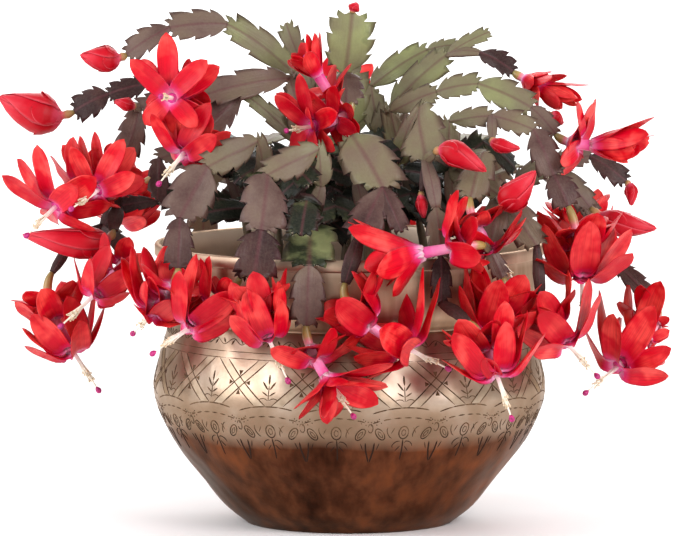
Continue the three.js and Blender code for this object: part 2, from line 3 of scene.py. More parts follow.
import bpy
import numpy as np
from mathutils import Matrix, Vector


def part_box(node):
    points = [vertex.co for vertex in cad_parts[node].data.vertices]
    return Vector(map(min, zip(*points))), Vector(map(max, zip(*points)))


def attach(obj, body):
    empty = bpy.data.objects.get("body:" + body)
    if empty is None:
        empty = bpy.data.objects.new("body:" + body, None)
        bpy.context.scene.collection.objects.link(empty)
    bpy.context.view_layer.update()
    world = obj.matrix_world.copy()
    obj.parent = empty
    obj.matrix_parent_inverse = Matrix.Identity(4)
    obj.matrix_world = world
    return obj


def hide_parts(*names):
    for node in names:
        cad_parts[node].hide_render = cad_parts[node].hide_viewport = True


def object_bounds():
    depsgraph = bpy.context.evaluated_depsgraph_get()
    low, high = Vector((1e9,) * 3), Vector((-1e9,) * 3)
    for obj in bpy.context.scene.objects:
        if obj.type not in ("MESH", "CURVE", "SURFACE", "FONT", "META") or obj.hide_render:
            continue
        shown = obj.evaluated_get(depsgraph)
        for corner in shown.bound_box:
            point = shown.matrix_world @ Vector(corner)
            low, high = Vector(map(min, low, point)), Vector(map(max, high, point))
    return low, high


# A christmas cactus in full bloom in an engraved brass bowl. Metres, +Z up, and -Y is its best side.
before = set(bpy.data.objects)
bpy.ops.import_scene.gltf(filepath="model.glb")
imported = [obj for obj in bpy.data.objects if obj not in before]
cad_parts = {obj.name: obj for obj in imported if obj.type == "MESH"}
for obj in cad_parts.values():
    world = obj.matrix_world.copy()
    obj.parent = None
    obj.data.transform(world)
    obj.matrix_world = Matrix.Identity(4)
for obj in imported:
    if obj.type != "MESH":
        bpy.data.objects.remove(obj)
cad_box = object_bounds()


# ---- The bowl ---------------------------------------------------------------------------------
# One sheet of brass, hammered up over stakes to a wide belly, drawn in under a straight collar and
# turned out to a small lip. It is polished tan above. Its lower half is painted dark brown, a painted
# reflection of a dark wooden table under the bowl.
BOWL_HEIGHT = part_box("pot")[1].z
BELLY_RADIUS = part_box("pot")[1].y
BASE_RADIUS = 0.074
WAIST_RADIUS = 0.1255
COLLAR_RADIUS = 0.1365
LIP_RADIUS = 0.139
SHEET = 0.002
LIP_PAINTED_HIGHLIGHT = 0.3
MIDDLE_RING = 0.0005
BOWL_SIDES = 256
CURVE_STEPS = 7
COLLAR_LINE = (0.142, 0.150)
# Heights over which the lower belly gets darker towards the bottom.
DUSKY_LINE = (0.118, 0.098)
# Heights where the painted reflection of a dark wooden table begins and where it is full.
TABLE_REFLECTION_LINE = (0.087, 0.076)

# Hammer dents, as waves: how many go round the bowl, radians a metre up it, start, and share.
DENT = 0.00022
DENT_START = 0.004
DENT_FADE = 0.02
DENT_WAVES = ((7, 41, 0, 1.0), (11, -63, 1, 1.0), (17, 97, 2, 1.0), (29, 180, 4, 0.7))

BOWL_OUTSIDE = [
    (BASE_RADIUS, 0.0),
    (BASE_RADIUS + 0.016, 0.013),
    (BELLY_RADIUS - 0.034, 0.033),
    (BELLY_RADIUS - 0.017, 0.055),
    (BELLY_RADIUS - 0.004, 0.079),
    (BELLY_RADIUS, 0.096),
    (BELLY_RADIUS - 0.0025, 0.112),
    (BELLY_RADIUS - 0.008, 0.130),
    (WAIST_RADIUS + 0.002, 0.1445),
    (WAIST_RADIUS, 0.1475),
    (WAIST_RADIUS + 0.0035, 0.1515),
    (COLLAR_RADIUS - 0.0025, 0.159),
    (COLLAR_RADIUS, 0.173),
    (COLLAR_RADIUS, 0.187),
]


def curve_through(knots, steps):
    """A smooth curve through its knots, with some steps between each two."""
    knots = np.asarray(knots, float)
    ends = np.vstack([2 * knots[0] - knots[1], knots, 2 * knots[-1] - knots[-2]])
    share = np.linspace(0, 1, steps, endpoint=False)[:, None]
    pieces = []
    for a, b, c, d in zip(ends, ends[1:], ends[2:], ends[3:]):
        pieces.append(
            0.5 * (2 * b + (c - a) * share + (2 * a - 5 * b + 4 * c - d) * share**2
                   + (3 * b - a - 3 * c + d) * share**3)
        )
    return np.vstack(pieces + [knots[-1:]])


def dent(turn, height):
    """How far hammer work leaves the sheet out of true there."""
    waves = [share * np.sin(around * turn + up * height + start) for around, up, start, share in DENT_WAVES]
    return DENT * sum(waves)


def unit(vectors):
    return vectors / np.maximum(np.linalg.norm(vectors, axis=-1, keepdims=True), 1e-12)


def linear(code):
    """An sRGB hex colour as linear light, opaque."""
    parts = [int(code[k : k + 2], 16) / 255 for k in (1, 3, 5)]
    return [c / 12.92 if c <= 0.04045 else ((c + 0.055) / 1.055) ** 2.4 for c in parts] + [1.0]


def scale_for(millimetres):
    """The texture scale that makes grains, streaks or blotches of about this size."""
    return 1000 / millimetres


def new_material(name):
    material = bpy.data.materials.new(name)
    material.use_nodes = True
    return material


def feed(material, socket, value):
    """Gives an input another node's output, a value, or an sRGB colour."""
    if isinstance(value, bpy.types.NodeSocket):
        material.node_tree.links.new(value, socket)
    else:
        socket.default_value = linear(value) if isinstance(value, str) else value


def add_node(material, kind, inputs=None, stops=None, **settings):
    """Adds a node with its settings and inputs, and returns its outputs. Stops fill a colour ramp."""
    made = material.node_tree.nodes.new("ShaderNode" + kind)
    for name, value in settings.items():
        setattr(made, name, value)
    for socket, value in (inputs or {}).items():
        feed(material, made.inputs[socket], value)
    for number, (place, code) in enumerate(stops or []):
        ramp = made.color_ramp.elements
        stop = ramp[number] if number < 2 else ramp.new(place)
        stop.position = place
        stop.color = linear(code)
    return made.outputs


def set_shader(material, **inputs):
    """Feeds the shader's inputs, named with _ for a space."""
    shader = material.node_tree.nodes["Principled BSDF"]
    for name, value in inputs.items():
        feed(material, shader.inputs[name.replace("_", " ")], value)


# A Mix node's sockets for colours, by number, because its kinds of socket share their names.
FACTOR, COLOUR_A, COLOUR_B, MIXED = 0, 6, 7, 2


def solid_piece(name, bodies, materials, crease=180.0):
    """One object made of closed bodies. A body is its rings of points, ring after ring, with three
    marks for each point and the number of its material. Its first and last rings are closed over."""
    points, marks, faces, numbers = [], [], [], []
    count = 0
    for rings, mark, number in bodies:
        rows, around = rings.shape[:2]
        ids = count + np.arange(rows * around).reshape(rows, around)
        after = np.roll(ids, -1, axis=1)
        quads = np.stack([ids[:-1], after[:-1], after[1:], ids[1:]], axis=-1).reshape(-1, 4)
        body = quads.tolist() + [ids[0, ::-1].tolist(), ids[-1].tolist()]
        faces += body
        numbers += [number] * len(body)
        points.append(rings.reshape(-1, 3))
        marks.append(np.broadcast_to(mark, rings.shape).reshape(-1, 3))
        count += rows * around
    mesh = bpy.data.meshes.new(name)
    mesh.from_pydata(np.vstack(points).tolist(), [], faces)
    for material in materials:
        mesh.materials.append(material)
    mesh.polygons.foreach_set("material_index", numbers)
    stored = mesh.attributes.new("growth", "FLOAT_VECTOR", "POINT")
    stored.data.foreach_set("vector", np.vstack(marks).astype(np.float32).ravel())
    mesh.shade_smooth()
    mesh.set_sharp_from_angle(angle=math.radians(crease))
    mesh.update()
    piece = bpy.data.objects.new(name, mesh)
    bpy.context.collection.objects.link(piece)
    return piece


outside = curve_through(BOWL_OUTSIDE, CURVE_STEPS)
outside_radius = outside[:, 0]
outside_height = outside[:, 1]
lip = [
    (COLLAR_RADIUS, BOWL_HEIGHT - 0.0092),
    (LIP_RADIUS - 0.0006, BOWL_HEIGHT - 0.0087),
    (LIP_RADIUS, BOWL_HEIGHT - 0.0079),
    (LIP_RADIUS, BOWL_HEIGHT - 0.0016),
    (LIP_RADIUS - 0.0007, BOWL_HEIGHT - 0.0003),
    (LIP_RADIUS - 0.002, BOWL_HEIGHT),
    (COLLAR_RADIUS - 0.001, BOWL_HEIGHT - 0.0004),
    (COLLAR_RADIUS - SHEET, BOWL_HEIGHT - 0.002),
]
inside = [(r - SHEET, max(z, SHEET)) for r, z in outside[::-1]]
bowl_profile = np.array([(MIDDLE_RING, 0.0), *outside, *lip, *inside, (MIDDLE_RING, SHEET)])


def bowl_rings(profile):
    """Rings of a turned shape, one to each point of its profile, with the sheet's dents."""
    turn = np.linspace(0, 2 * np.pi, BOWL_SIDES, endpoint=False)[None, :]
    radius = profile[:, :1]
    height = profile[:, 1:2]
    dented = np.clip((height - DENT_START) / DENT_FADE, 0, 1)
    dented = dented * np.clip((BOWL_HEIGHT - height) / DENT_FADE, 0, 1)
    radius = radius + dent(turn, height) * dented * (radius > BASE_RADIUS)
    height = np.broadcast_to(height, radius.shape)
    return np.stack([radius * np.sin(turn), -radius * np.cos(turn), height], axis=-1)


# Raised brass: warm metal, pale tan where it was rubbed, with soft wide highlights because the hand
# polish left fine scratches. Below a ragged line it is painted dark brown with redder streaks, a painted
# reflection of a dark wooden table. Hammer marks lie 12 mm apart, the cloth's streaks 11 mm apart and
# ten times as long, and the scratches are drawn 2.4 mm wide, because real ones are too fine to show.
WIPE_SCALE = (scale_for(11.1), scale_for(11.1), scale_for(111))
raised_brass = new_material("raised_brass_hammered_and_polished")
place = add_node(raised_brass, "TexCoord")["Object"]
axes = add_node(raised_brass, "SeparateXYZ", {"Vector": place})
blotch = add_node(raised_brass, "TexNoise", {"Vector": place, "Scale": scale_for(29.4), "Detail": 5.0})
cloud = add_node(raised_brass, "TexNoise", {"Vector": place, "Scale": scale_for(90.9), "Detail": 3.0})
wiped = add_node(raised_brass, "Mapping", {"Vector": place, "Scale": WIPE_SCALE})["Vector"]
wipe = add_node(raised_brass, "TexNoise", {"Vector": wiped, "Scale": 1.0, "Detail": 4.0})
polish = add_node(
    raised_brass, "ValToRGB", {"Fac": blotch["Fac"]},
    stops=[(0.30, "#947e6a"), (0.48, "#aa927d"), (0.62, "#beaa97"), (0.75, "#ccbbaa")],
)["Color"]
gold = add_node(
    raised_brass, "ValToRGB", {"Fac": wipe["Fac"]},
    stops=[(0.3, "#937760"), (0.5, "#ac8f75"), (0.7, "#c2a890")],
)["Color"]
collar = add_node(
    raised_brass, "MapRange", {"Value": axes["Z"], "From Min": COLLAR_LINE[0], "From Max": COLLAR_LINE[1]}
)["Result"]
upper = add_node(
    raised_brass, "Mix", {FACTOR: collar, COLOUR_A: polish, COLOUR_B: gold}, data_type="RGBA"
)[MIXED]
growth = add_node(raised_brass, "Attribute", attribute_name="growth")["Vector"]
mark = add_node(raised_brass, "SeparateXYZ", {"Vector": growth})
# Painted light: the lip's mark is a painted highlight and the inside's mark is painted light, both mixed
# towards a pale tan.
painted_light_share = add_node(raised_brass, "Math", {0: mark["X"], 1: mark["Y"]}, operation="MAXIMUM")["Value"]
with_painted_light = add_node(
    raised_brass, "Mix", {FACTOR: painted_light_share, COLOUR_A: upper, COLOUR_B: "#ead4be"}, data_type="RGBA"
)[MIXED]
# Painted reflection: dark brown with redder streaks, standing in for a dark wooden table mirrored in the
# lower belly.
streaked = add_node(
    raised_brass, "Math", {0: wipe["Fac"], 1: 0.8, 2: cloud["Fac"]}, operation="MULTIPLY_ADD"
)["Value"]
table_reflection_share = add_node(raised_brass, "Math", {0: streaked, 1: 0.56}, operation="MULTIPLY")["Value"]
painted_table_reflection = add_node(
    raised_brass, "ValToRGB", {"Fac": table_reflection_share},
    stops=[(0.36, "#30190f"), (0.47, "#4e2c1c"), (0.56, "#693e28"), (0.68, "#854b2b")],
)["Color"]
ragged = add_node(raised_brass, "Math", {0: cloud["Fac"], 1: 0.02}, operation="MULTIPLY")["Value"]
level = add_node(raised_brass, "Math", {0: axes["Z"], 1: ragged}, operation="ADD")["Value"]
# Darker towards the bottom: the lower belly is mixed towards a dull brown above the painted reflection.
dusky = add_node(
    raised_brass, "MapRange",
    {"Value": level, "From Min": DUSKY_LINE[0], "From Max": DUSKY_LINE[1], "To Max": 0.55},
)["Result"]
darker_lower_belly = add_node(
    raised_brass, "Mix", {FACTOR: dusky, COLOUR_A: with_painted_light, COLOUR_B: "#7f654b"}, data_type="RGBA"
)[MIXED]
darkened = add_node(
    raised_brass, "MapRange", {"Value": level, "From Min": TABLE_REFLECTION_LINE[0], "From Max": TABLE_REFLECTION_LINE[1]}
)["Result"]
body_colour = add_node(
    raised_brass, "Mix", {FACTOR: darkened, COLOUR_A: darker_lower_belly, COLOUR_B: painted_table_reflection}, data_type="RGBA"
)[MIXED]
fine = add_node(raised_brass, "TexNoise", {"Vector": place, "Scale": scale_for(2.38), "Detail": 3.0})
hammer = add_node(
    raised_brass, "TexVoronoi", {"Vector": place, "Scale": scale_for(11.76), "Smoothness": 1.0},
    feature="SMOOTH_F1",
)
relief = add_node(
    raised_brass, "Math", {0: fine["Fac"], 1: 0.25, 2: hammer["Distance"]}, operation="MULTIPLY_ADD"
)["Value"]
bump = add_node(raised_brass, "Bump", {"Height": relief, "Strength": 0.25, "Distance": 0.0012})["Normal"]
duller = add_node(raised_brass, "MapRange", {"Value": collar, "To Min": 0.27, "To Max": 0.38})["Result"]
rough = add_node(
    raised_brass, "Math", {0: wipe["Fac"], 1: 0.16, 2: duller}, operation="MULTIPLY_ADD"
)["Value"]
set_shader(
    raised_brass, Base_Color=body_colour, Metallic=1.0, Roughness=rough, Specular_Tint="#eae0d8",
    Normal=bump,
)

# The lip carries a painted highlight and the inside painted light: both are mixed towards a pale tan.
on_lip = (bowl_profile[:, 1] > BOWL_HEIGHT - 0.0095) & (bowl_profile[:, 0] > COLLAR_RADIUS - 0.0011)
within = np.arange(len(bowl_profile)) >= len(outside) + len(lip)
# The first mark is the lip's painted highlight, the second the inside's painted light.
bowl_marks = np.stack([LIP_PAINTED_HIGHLIGHT * on_lip, within, 0 * within], axis=-1).astype(float)[:, None]
bowl = solid_piece("bowl_shell", [(bowl_rings(bowl_profile), bowl_marks, 0)], [raised_brass], crease=50.0)
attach(bowl, "root")
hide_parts("pot")


# ---- The engraving ----------------------------------------------------------------------------
# Traditional strap and leaf work, cut with a burin round the shoulder and belly, and dark where old
# polish and oxide lie in the cuts. Each cut is a hair-thin body laid on the bowl's own surface.
CUT_WIDTH = 0.0006
FINE_CUT = 0.0005
BOLD_CUT = 0.0008
WEDGE_CUT = 0.0034
CUT_STEP = 0.0016
CUT_LIFT = 0.00016
REPEATS = 18
FIRST_REPEAT = math.radians(6.1)
PERIOD = 2 * np.pi * BELLY_RADIUS / REPEATS
RING_HEIGHTS = (0.1325, 0.1280)
STRAP_TOP = 0.1274
STRAP_FOOT = 0.0970
STRAP_HALF = 0.0044
STRAP_SPREAD = 0.36
STRAP_LIFT = 0.00010
STRAP_FILL = 0.84
STRAP_STEPS = 21
STRAP_CROSSING = (STRAP_TOP + STRAP_FOOT) / 2
SCALLOP_HEIGHTS = (0.0965, 0.0895)
SCALLOP_RISE = 0.0042
VINE_HEIGHT = 0.1392
VINE_WAVE = 0.0020
VINE_LEAVES = 6

# Heights that repeat are set a hair apart, so that the slope stays finite.
radius_slope = np.gradient(outside_radius, outside_height + 1e-7 * np.arange(len(outside_height)))


def on_bowl(turn, height, lift):
    """Points just off the bowl's outside, and the way that its surface faces there."""
    radius = np.interp(height, outside_height, outside_radius) + dent(turn, height)
    slope = np.interp(height, outside_height, radius_slope)
    facing = unit(np.stack([np.sin(turn), -np.cos(turn), -slope], axis=-1))
    spots = np.stack([radius * np.sin(turn), -radius * np.cos(turn), height], axis=-1)
    return spots + facing * lift, facing


cuts = []
straps = []


def cut(centre, path, width=CUT_WIDTH, wedge=False):
    """Cuts a line through (sideways, height) spots, drawn at an angle round the bowl. A wedge is
    broad where it starts and runs to a point."""
    path = np.asarray(path, float)
    reach = np.concatenate([[0], np.cumsum(np.hypot(*np.diff(path, axis=0).T))])
    steps = max(int(reach[-1] / CUT_STEP), 2)
    at = np.linspace(0, reach[-1], steps + 1)
    sideways = np.interp(at, reach, path[:, 0])
    height = np.interp(at, reach, path[:, 1])
    spots, facing = on_bowl(centre + sideways / BELLY_RADIUS, height, 0.0)
    ahead = unit(np.gradient(spots, axis=0))
    side = unit(np.cross(facing, ahead))
    taper = np.clip(np.sin(np.linspace(0.12, np.pi - 0.12, steps + 1)) * 2.2, 0, 1)
    if wedge:
        taper = np.linspace(1, 0.08, steps + 1)
    half = (width / 2 * taper)[:, None]
    rings = [
        spots - side * half - facing * CUT_WIDTH,
        spots + side * half - facing * CUT_WIDTH,
        spots + side * half + facing * CUT_LIFT,
        spots - side * half + facing * CUT_LIFT,
    ]
    cuts.append((np.stack(rings, axis=1), 0.0, 0))


def strap(centre, start, end):
    """Lays a broad band on the bowl's surface from one (sideways, height) spot to another."""
    share = np.linspace(0, 1, STRAP_STEPS)[:, None]
    across = STRAP_FILL * STRAP_HALF * np.array([-1, -0.5, 0, 0.5, 1])
    sideways = start[0] + (end[0] - start[0]) * share + across
    height = start[1] + (end[1] - start[1]) * share + 0 * across
    top, facing = on_bowl(centre + sideways / BELLY_RADIUS, height, STRAP_LIFT)
    under = top - facing * CUT_WIDTH
    straps.append((np.concatenate([top, under[:, ::-1]], axis=1), 0.0, 0))


def arc(centre, radii, start, end, tilt=0.0, steps=9):
    """Spots along part of an ellipse; angles in degrees, turned by tilt."""
    angle = np.radians(np.linspace(start, end, steps))
    lean = math.radians(tilt)
    x = radii[0] * np.cos(angle)
    y = radii[1] * np.sin(angle)
    return np.stack(
        [centre[0] + x * math.cos(lean) - y * math.sin(lean),
         centre[1] + x * math.sin(lean) + y * math.cos(lean)], axis=-1
    )


# Two rings run round under the shoulder, cut in lengths.
for height in RING_HEIGHTS:
    for number in range(REPEATS):
        start = number * PERIOD
        cut(0.0, [(start, height), (start + PERIOD * 0.97, height)], width=FINE_CUT)

for number in range(REPEATS):
    middle = FIRST_REPEAT + number * 2 * np.pi / REPEATS
    between = middle + np.pi / REPEATS
    # Straps: broad bands that cross as an X between the rings and the scallops, left a little proud,
    # with four wedges that point at their crossing.
    for lean in (-1, 1):
        run = [(-lean * PERIOD * STRAP_SPREAD, STRAP_FOOT), (lean * PERIOD * STRAP_SPREAD, STRAP_TOP)]
        strap(middle, *run)
        for edge in (-STRAP_HALF, STRAP_HALF):
            cut(middle, [(x + edge, z) for x, z in run], width=BOLD_CUT)
    for side in (-1, 1):
        across = [(side * 0.0088, STRAP_CROSSING), (side * 0.0056, STRAP_CROSSING)]
        upright = [(0.0, STRAP_CROSSING + side * 0.0082), (0.0, STRAP_CROSSING + side * 0.0048)]
        cut(middle, across, width=WEDGE_CUT, wedge=True)
        cut(middle, upright, width=WEDGE_CUT, wedge=True)
        # Between two straps stands a small twig with five slender leaves.
        cut(between, [(side * 0.0008, 0.1082), (side * 0.0050, 0.1136)], width=0.0012)
        cut(between, [(side * 0.0006, 0.1040), (side * 0.0052, 0.1068)], width=0.0010)
        cut(between, arc((side * 0.0040, 0.1000), (0.0036, 0.0022), 20, 160))
    cut(between, [(0.0, 0.1118), (0.0, 0.1186)], width=0.0013)
    cut(between, [(0.0, 0.1112), (0.0, 0.1005)])
    # Scallops: a long cut and a dashed one below it, each sagging where two repeats meet.
    for row, height in enumerate(SCALLOP_HEIGHTS):
        span = np.linspace(-0.47, 0.47, 19)
        path = np.stack([span * PERIOD, height - SCALLOP_RISE * (2 * np.abs(span)) ** 2.2], axis=-1)
        for k in range(0, len(path) - 3, 3 if row else 4):
            cut(between, path[k : k + (3 if row else 5)], width=BOLD_CUT)
    # Two rows of dots fan out under each crossing.
    for k in range(7):
        angle = math.radians(205 + k * 22)
        for reach in (0.0036, 0.0060):
            spot = (reach * 1.7 * math.cos(angle), 0.0905 + reach * math.sin(angle))
            cut(middle, [spot, (spot[0] + 0.0008, spot[1] - 0.0004)], width=0.0009)
    # Large palmettes, with two drooping leaves, hang where the scallops meet.
    for side in (-1, 1):
        leaf = arc((side * 0.0072, 0.0778), (0.0026, 0.0050), 0, 360, tilt=38 * side, steps=17)
        cut(middle, leaf, width=BOLD_CUT)
        cut(middle, arc((side * 0.0074, 0.0776), (0.0010, 0.0030), 0, 360, tilt=38 * side), width=FINE_CUT)
        cut(middle, arc((side * 0.0148, 0.0790), (0.0022, 0.0046), 100, 250, tilt=25 * side))
        stalk = [(side * 0.0034, 0.0716), (side * 0.0028, 0.0655), (side * 0.0004, 0.0570)]
        cut(middle, stalk, width=0.0011)
        cut(middle, [(side * 0.0070, 0.0712), (side * 0.0052, 0.0664)])
    cut(middle, arc((0.0, 0.0822), (0.0018, 0.0034), 200, 520, steps=11))
    # Small ones, a bead and its leaves on a short stem, hang under each scallop's middle.
    cut(between, arc((0.0, 0.0788), (0.0036, 0.0046), 0, 360, steps=21), width=BOLD_CUT)
    cut(between, arc((0.0, 0.0788), (0.0016, 0.0024), 0, 360, steps=13), width=FINE_CUT)
    cut(between, [(0.0, 0.0738), (0.0004, 0.0670), (0.0, 0.0585)], width=0.0009)
    for side in (-1, 1):
        cut(between, [(side * 0.0070, 0.0822), (side * 0.0092, 0.0782)])
        cut(between, arc((side * 0.0046, 0.0700), (0.0036, 0.0020), 20, 200, tilt=-35 * side))
        cut(between, [(side * 0.0016, 0.0690), (side * 0.0050, 0.0652)])
    # The shoulder above the rings carries a running vine, with a leaf in each of its bends.
    span = np.linspace(-0.5, 0.5, 37)
    vine = VINE_HEIGHT + VINE_WAVE * np.sin(VINE_LEAVES * np.pi * span)
    cut(middle, np.stack([span * PERIOD, vine], axis=-1))
    for k in range(VINE_LEAVES):
        x = ((k + 0.5) / VINE_LEAVES - 0.5) * PERIOD
        up = 1 if k % 2 else -1
        cut(middle, [(x - 0.0012, VINE_HEIGHT - 0.0022 * up), (x + 0.0010, VINE_HEIGHT + 0.0010 * up)],
            width=0.0015)

# Oxide in the cuts: dull and dark brown, because nothing rubs it away there. Near the foot they are
# painted nearly black, to match the painted reflection of a dark table there. Its grains are too fine
# to show, so it is drawn in specks of about 4 mm.
CUT_REFLECTION_LINE = (0.082, 0.072)
oxide = new_material("dark_oxide_in_engraved_cuts")
place = add_node(oxide, "TexCoord")["Object"]
speck = add_node(oxide, "TexNoise", {"Vector": place, "Scale": scale_for(3.85), "Detail": 2.0})
oxide_colour = add_node(
    oxide, "ValToRGB", {"Fac": speck["Fac"]}, stops=[(0.35, "#3d2818"), (0.65, "#6b523a")]
)["Color"]
cut_height = add_node(oxide, "SeparateXYZ", {"Vector": place})["Z"]
in_table_reflection = add_node(
    oxide, "MapRange", {"Value": cut_height, "From Min": CUT_REFLECTION_LINE[0], "From Max": CUT_REFLECTION_LINE[1]}
)["Result"]
# Painted reflection: the cuts turn nearly black where the dark table's reflection is painted on the bowl.
cut_colour_with_reflection = add_node(
    oxide, "Mix", {FACTOR: in_table_reflection, COLOUR_A: oxide_colour, COLOUR_B: "#2a180d"}, data_type="RGBA"
)[MIXED]
set_shader(oxide, Base_Color=cut_colour_with_reflection, Roughness=0.8, Specular_IOR_Level=0.2)

engraving = solid_piece("bowl_engraving", cuts, [oxide], crease=40.0)
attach(engraving, "root")

# Rubbed brass: the straps stand a hair proud, so years of polishing left them the brightest, with
# scuffs some 8 mm wide.
rubbed = new_material("rubbed_brass_on_straps")
place = add_node(rubbed, "TexCoord")["Object"]
scuff = add_node(rubbed, "TexNoise", {"Vector": place, "Scale": scale_for(8.33), "Detail": 5.0})
rubbed_colour = add_node(
    rubbed, "ValToRGB", {"Fac": scuff["Fac"]}, stops=[(0.35, "#a18c76"), (0.65, "#b8a48e")]
)["Color"]
rubbed_rough = add_node(rubbed, "MapRange", {"Value": scuff["Fac"], "To Min": 0.3, "To Max": 0.5})["Result"]
rubbed_bump = add_node(
    rubbed, "Bump", {"Height": scuff["Fac"], "Strength": 0.2, "Distance": 0.0008}
)["Normal"]
set_shader(
    rubbed, Base_Color=rubbed_colour, Metallic=1.0, Roughness=rubbed_rough, Specular_Tint="#c8b8aa",
    Normal=rubbed_bump,
)

strap_work = solid_piece("bowl_straps", straps, [rubbed], crease=40.0)
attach(strap_work, "root")


# ---- The soil ---------------------------------------------------------------------------------
# Dark moist potting soil, filled to a little below the collar's top: crumbs of peat with flakes of
# bark and white grit, in low uneven lumps.
SOIL_HEIGHT = 0.172
SOIL_RADIUS = COLLAR_RADIUS - SHEET - 0.0003
SOIL_DEPTH = 0.03
LUMP = 0.00528
LUMP_WAVES = 14
SETTLED = 0.0012
CRUMBS = 900
CRUMB_SIDES = 6
CRUMB_SHAPE = ((-1, 0.45), (-0.4, 0.95), (0.45, 0.85), (1, 0.4))

dice = np.random.default_rng(11)
lump_waves = dice.uniform(-1, 1, (LUMP_WAVES, 2)) * dice.uniform(60, 420, (LUMP_WAVES, 1))
lump_starts = dice.uniform(0, 2 * np.pi, LUMP_WAVES)


def soil_top(x, y):
    """The height of the soil at a spot."""
    phase = x[..., None] * lump_waves[:, 0] + y[..., None] * lump_waves[:, 1] + lump_starts
    return SOIL_HEIGHT + LUMP * np.sin(phase).mean(axis=-1) - SETTLED


turn = np.linspace(0, 2 * np.pi, 180, endpoint=False)
radii = np.linspace(SOIL_RADIUS, 0.0008, 64)[:, None]
x, y = radii * np.sin(turn), -radii * np.cos(turn)
soil_rings = np.stack([x, y, soil_top(x, y)], axis=-1)
low = soil_rings[:1].copy()
low[..., 2] = SOIL_HEIGHT - SOIL_DEPTH
low[..., :2] *= (WAIST_RADIUS - SHEET - 0.001) / SOIL_RADIUS
middle_low = low * np.array([0.01, 0.01, 1.0])
soil_rings = np.concatenate([middle_low, low, soil_rings])

# Moist peat: near black with browner dry crumbs from 3 mm down, and dull, with a slight wet glint.
peat = new_material("moist_peat_soil")
place = add_node(peat, "TexCoord")["Object"]
grain = add_node(peat, "TexNoise", {"Vector": place, "Scale": scale_for(3.03), "Detail": 8.0})
peat_colour = add_node(
    peat, "ValToRGB", {"Fac": grain["Fac"]},
    stops=[(0.3, "#17100b"), (0.5, "#33241a"), (0.65, "#54402e"), (0.8, "#8a7a66")],
)["Color"]
peat_rough = add_node(peat, "MapRange", {"Value": grain["Fac"], "To Min": 0.75, "To Max": 1.0})["Result"]
peat_bump = add_node(peat, "Bump", {"Height": grain["Fac"], "Strength": 0.9, "Distance": 0.002})["Normal"]
set_shader(peat, Base_Color=peat_colour, Roughness=peat_rough, Normal=peat_bump)

soil = solid_piece("soil_bed", [(soil_rings, 0.0, 0)], [peat])
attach(soil, "root")
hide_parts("soil")

# Bark and grit: chips of fir bark, brown and fibrous, with some pale ones of pumice. The fibres are
# drawn 1 mm apart, coarser than real ones, and the hue changes every 14 mm, from chip to chip.
bark = new_material("fir_bark_and_pumice_grit")
place = add_node(bark, "TexCoord")["Object"]
kind = add_node(bark, "TexNoise", {"Vector": place, "Scale": scale_for(14.3), "Detail": 1.0})
fibre = add_node(bark, "TexNoise", {"Vector": place, "Scale": scale_for(1.11), "Detail": 2.0})
bark_colour = add_node(
    bark, "ValToRGB", {"Fac": kind["Fac"]},
    stops=[(0.35, "#3a2618"), (0.52, "#6b4a30"), (0.64, "#8a6a48"), (0.70, "#d8cfc0")],
)["Color"]
bark_bump = add_node(bark, "Bump", {"Height": fibre["Fac"], "Strength": 0.6, "Distance": 0.0005})["Normal"]
set_shader(bark, Base_Color=bark_colour, Roughness=0.85, Normal=bark_bump)

chips = []
angles = np.linspace(0, 2 * np.pi, CRUMB_SIDES, endpoint=False)
for _ in range(CRUMBS):
    reach = SOIL_RADIUS * 0.95 * math.sqrt(dice.uniform(0, 1))
    heading = dice.uniform(0, 2 * np.pi)
    x, y = reach * math.sin(heading), reach * math.cos(heading)
    size = dice.uniform(0.0008, 0.0032)
    chip_axes = np.linalg.qr(dice.normal(size=(3, 3)))[0]
    rows = []
    for along, wide in CRUMB_SHAPE:
        reaches = wide * dice.uniform(0.75, 1.15, CRUMB_SIDES)
        rows.append([reaches * np.cos(angles), 0.6 * reaches * np.sin(angles), 1.3 * along + 0 * angles])
    centre = np.array([x, y, float(soil_top(np.array(x), np.array(y))) + size * 0.35])
    chips.append((np.moveaxis(rows, 1, 2) @ chip_axes * size + centre, 0.0, 0))
crumbs = solid_piece("soil_crumbs", chips, [bark])
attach(crumbs, "root")


# ---- The stems --------------------------------------------------------------------------------
# A christmas cactus has no leaves: its stems are chains of flat fleshy segments, toothed at their
# edges, with a raised midrib and a hair-tufted joint. The oldest, at the foot, have turned to wood.
FOOT_RADIUS = 0.0044
FOOT_RISE = 0.014
HOLE_DEPTH = 0.013
STALK_WIDTH = 0.012
SEGMENT_BOW = 0.07
RIB_HALF = 0.0013
RIM_HALF = 0.00045
RIM_SWELL = 0.0004
RIB_RISE = 0.00045
RIB_SPREAD = 0.13
STALK_SHAPE = ((0, 0.55), (0.2, 0.78), (0.5, 1.0), (0.8, 0.86), (1, 0.55))
STALK_ROWS = np.array([0, 0.08, 0.2, 0.35, 0.5, 0.65, 0.8, 0.92, 1.0])[:, None]
THINNING = ((0, 1.25), (0.06, 1.0), (0.5, 1.0), (0.95, 0.9), (1.01, 0.9))
FOOT_SIDES = 14
TUFT_HAIRS = 9
BRISTLE_RADII = [0.00014, 0.00010, 0.00003]

# Each tooth: its tip's way along and half width, and the half width of the notch after it.
TEETH = ((0.33, 0.94, 0.68), (0.63, 1.03, 0.69), (0.92, 0.97, 0.48))

# An edge's course up to a tooth's tip, and how far it swells out on the way.
TOOTH_CURVE = ((0.0, 0.0), (0.2, 0.055), (0.45, 0.07), (0.7, 0.045), (0.88, 0.005), (1, 0.02))

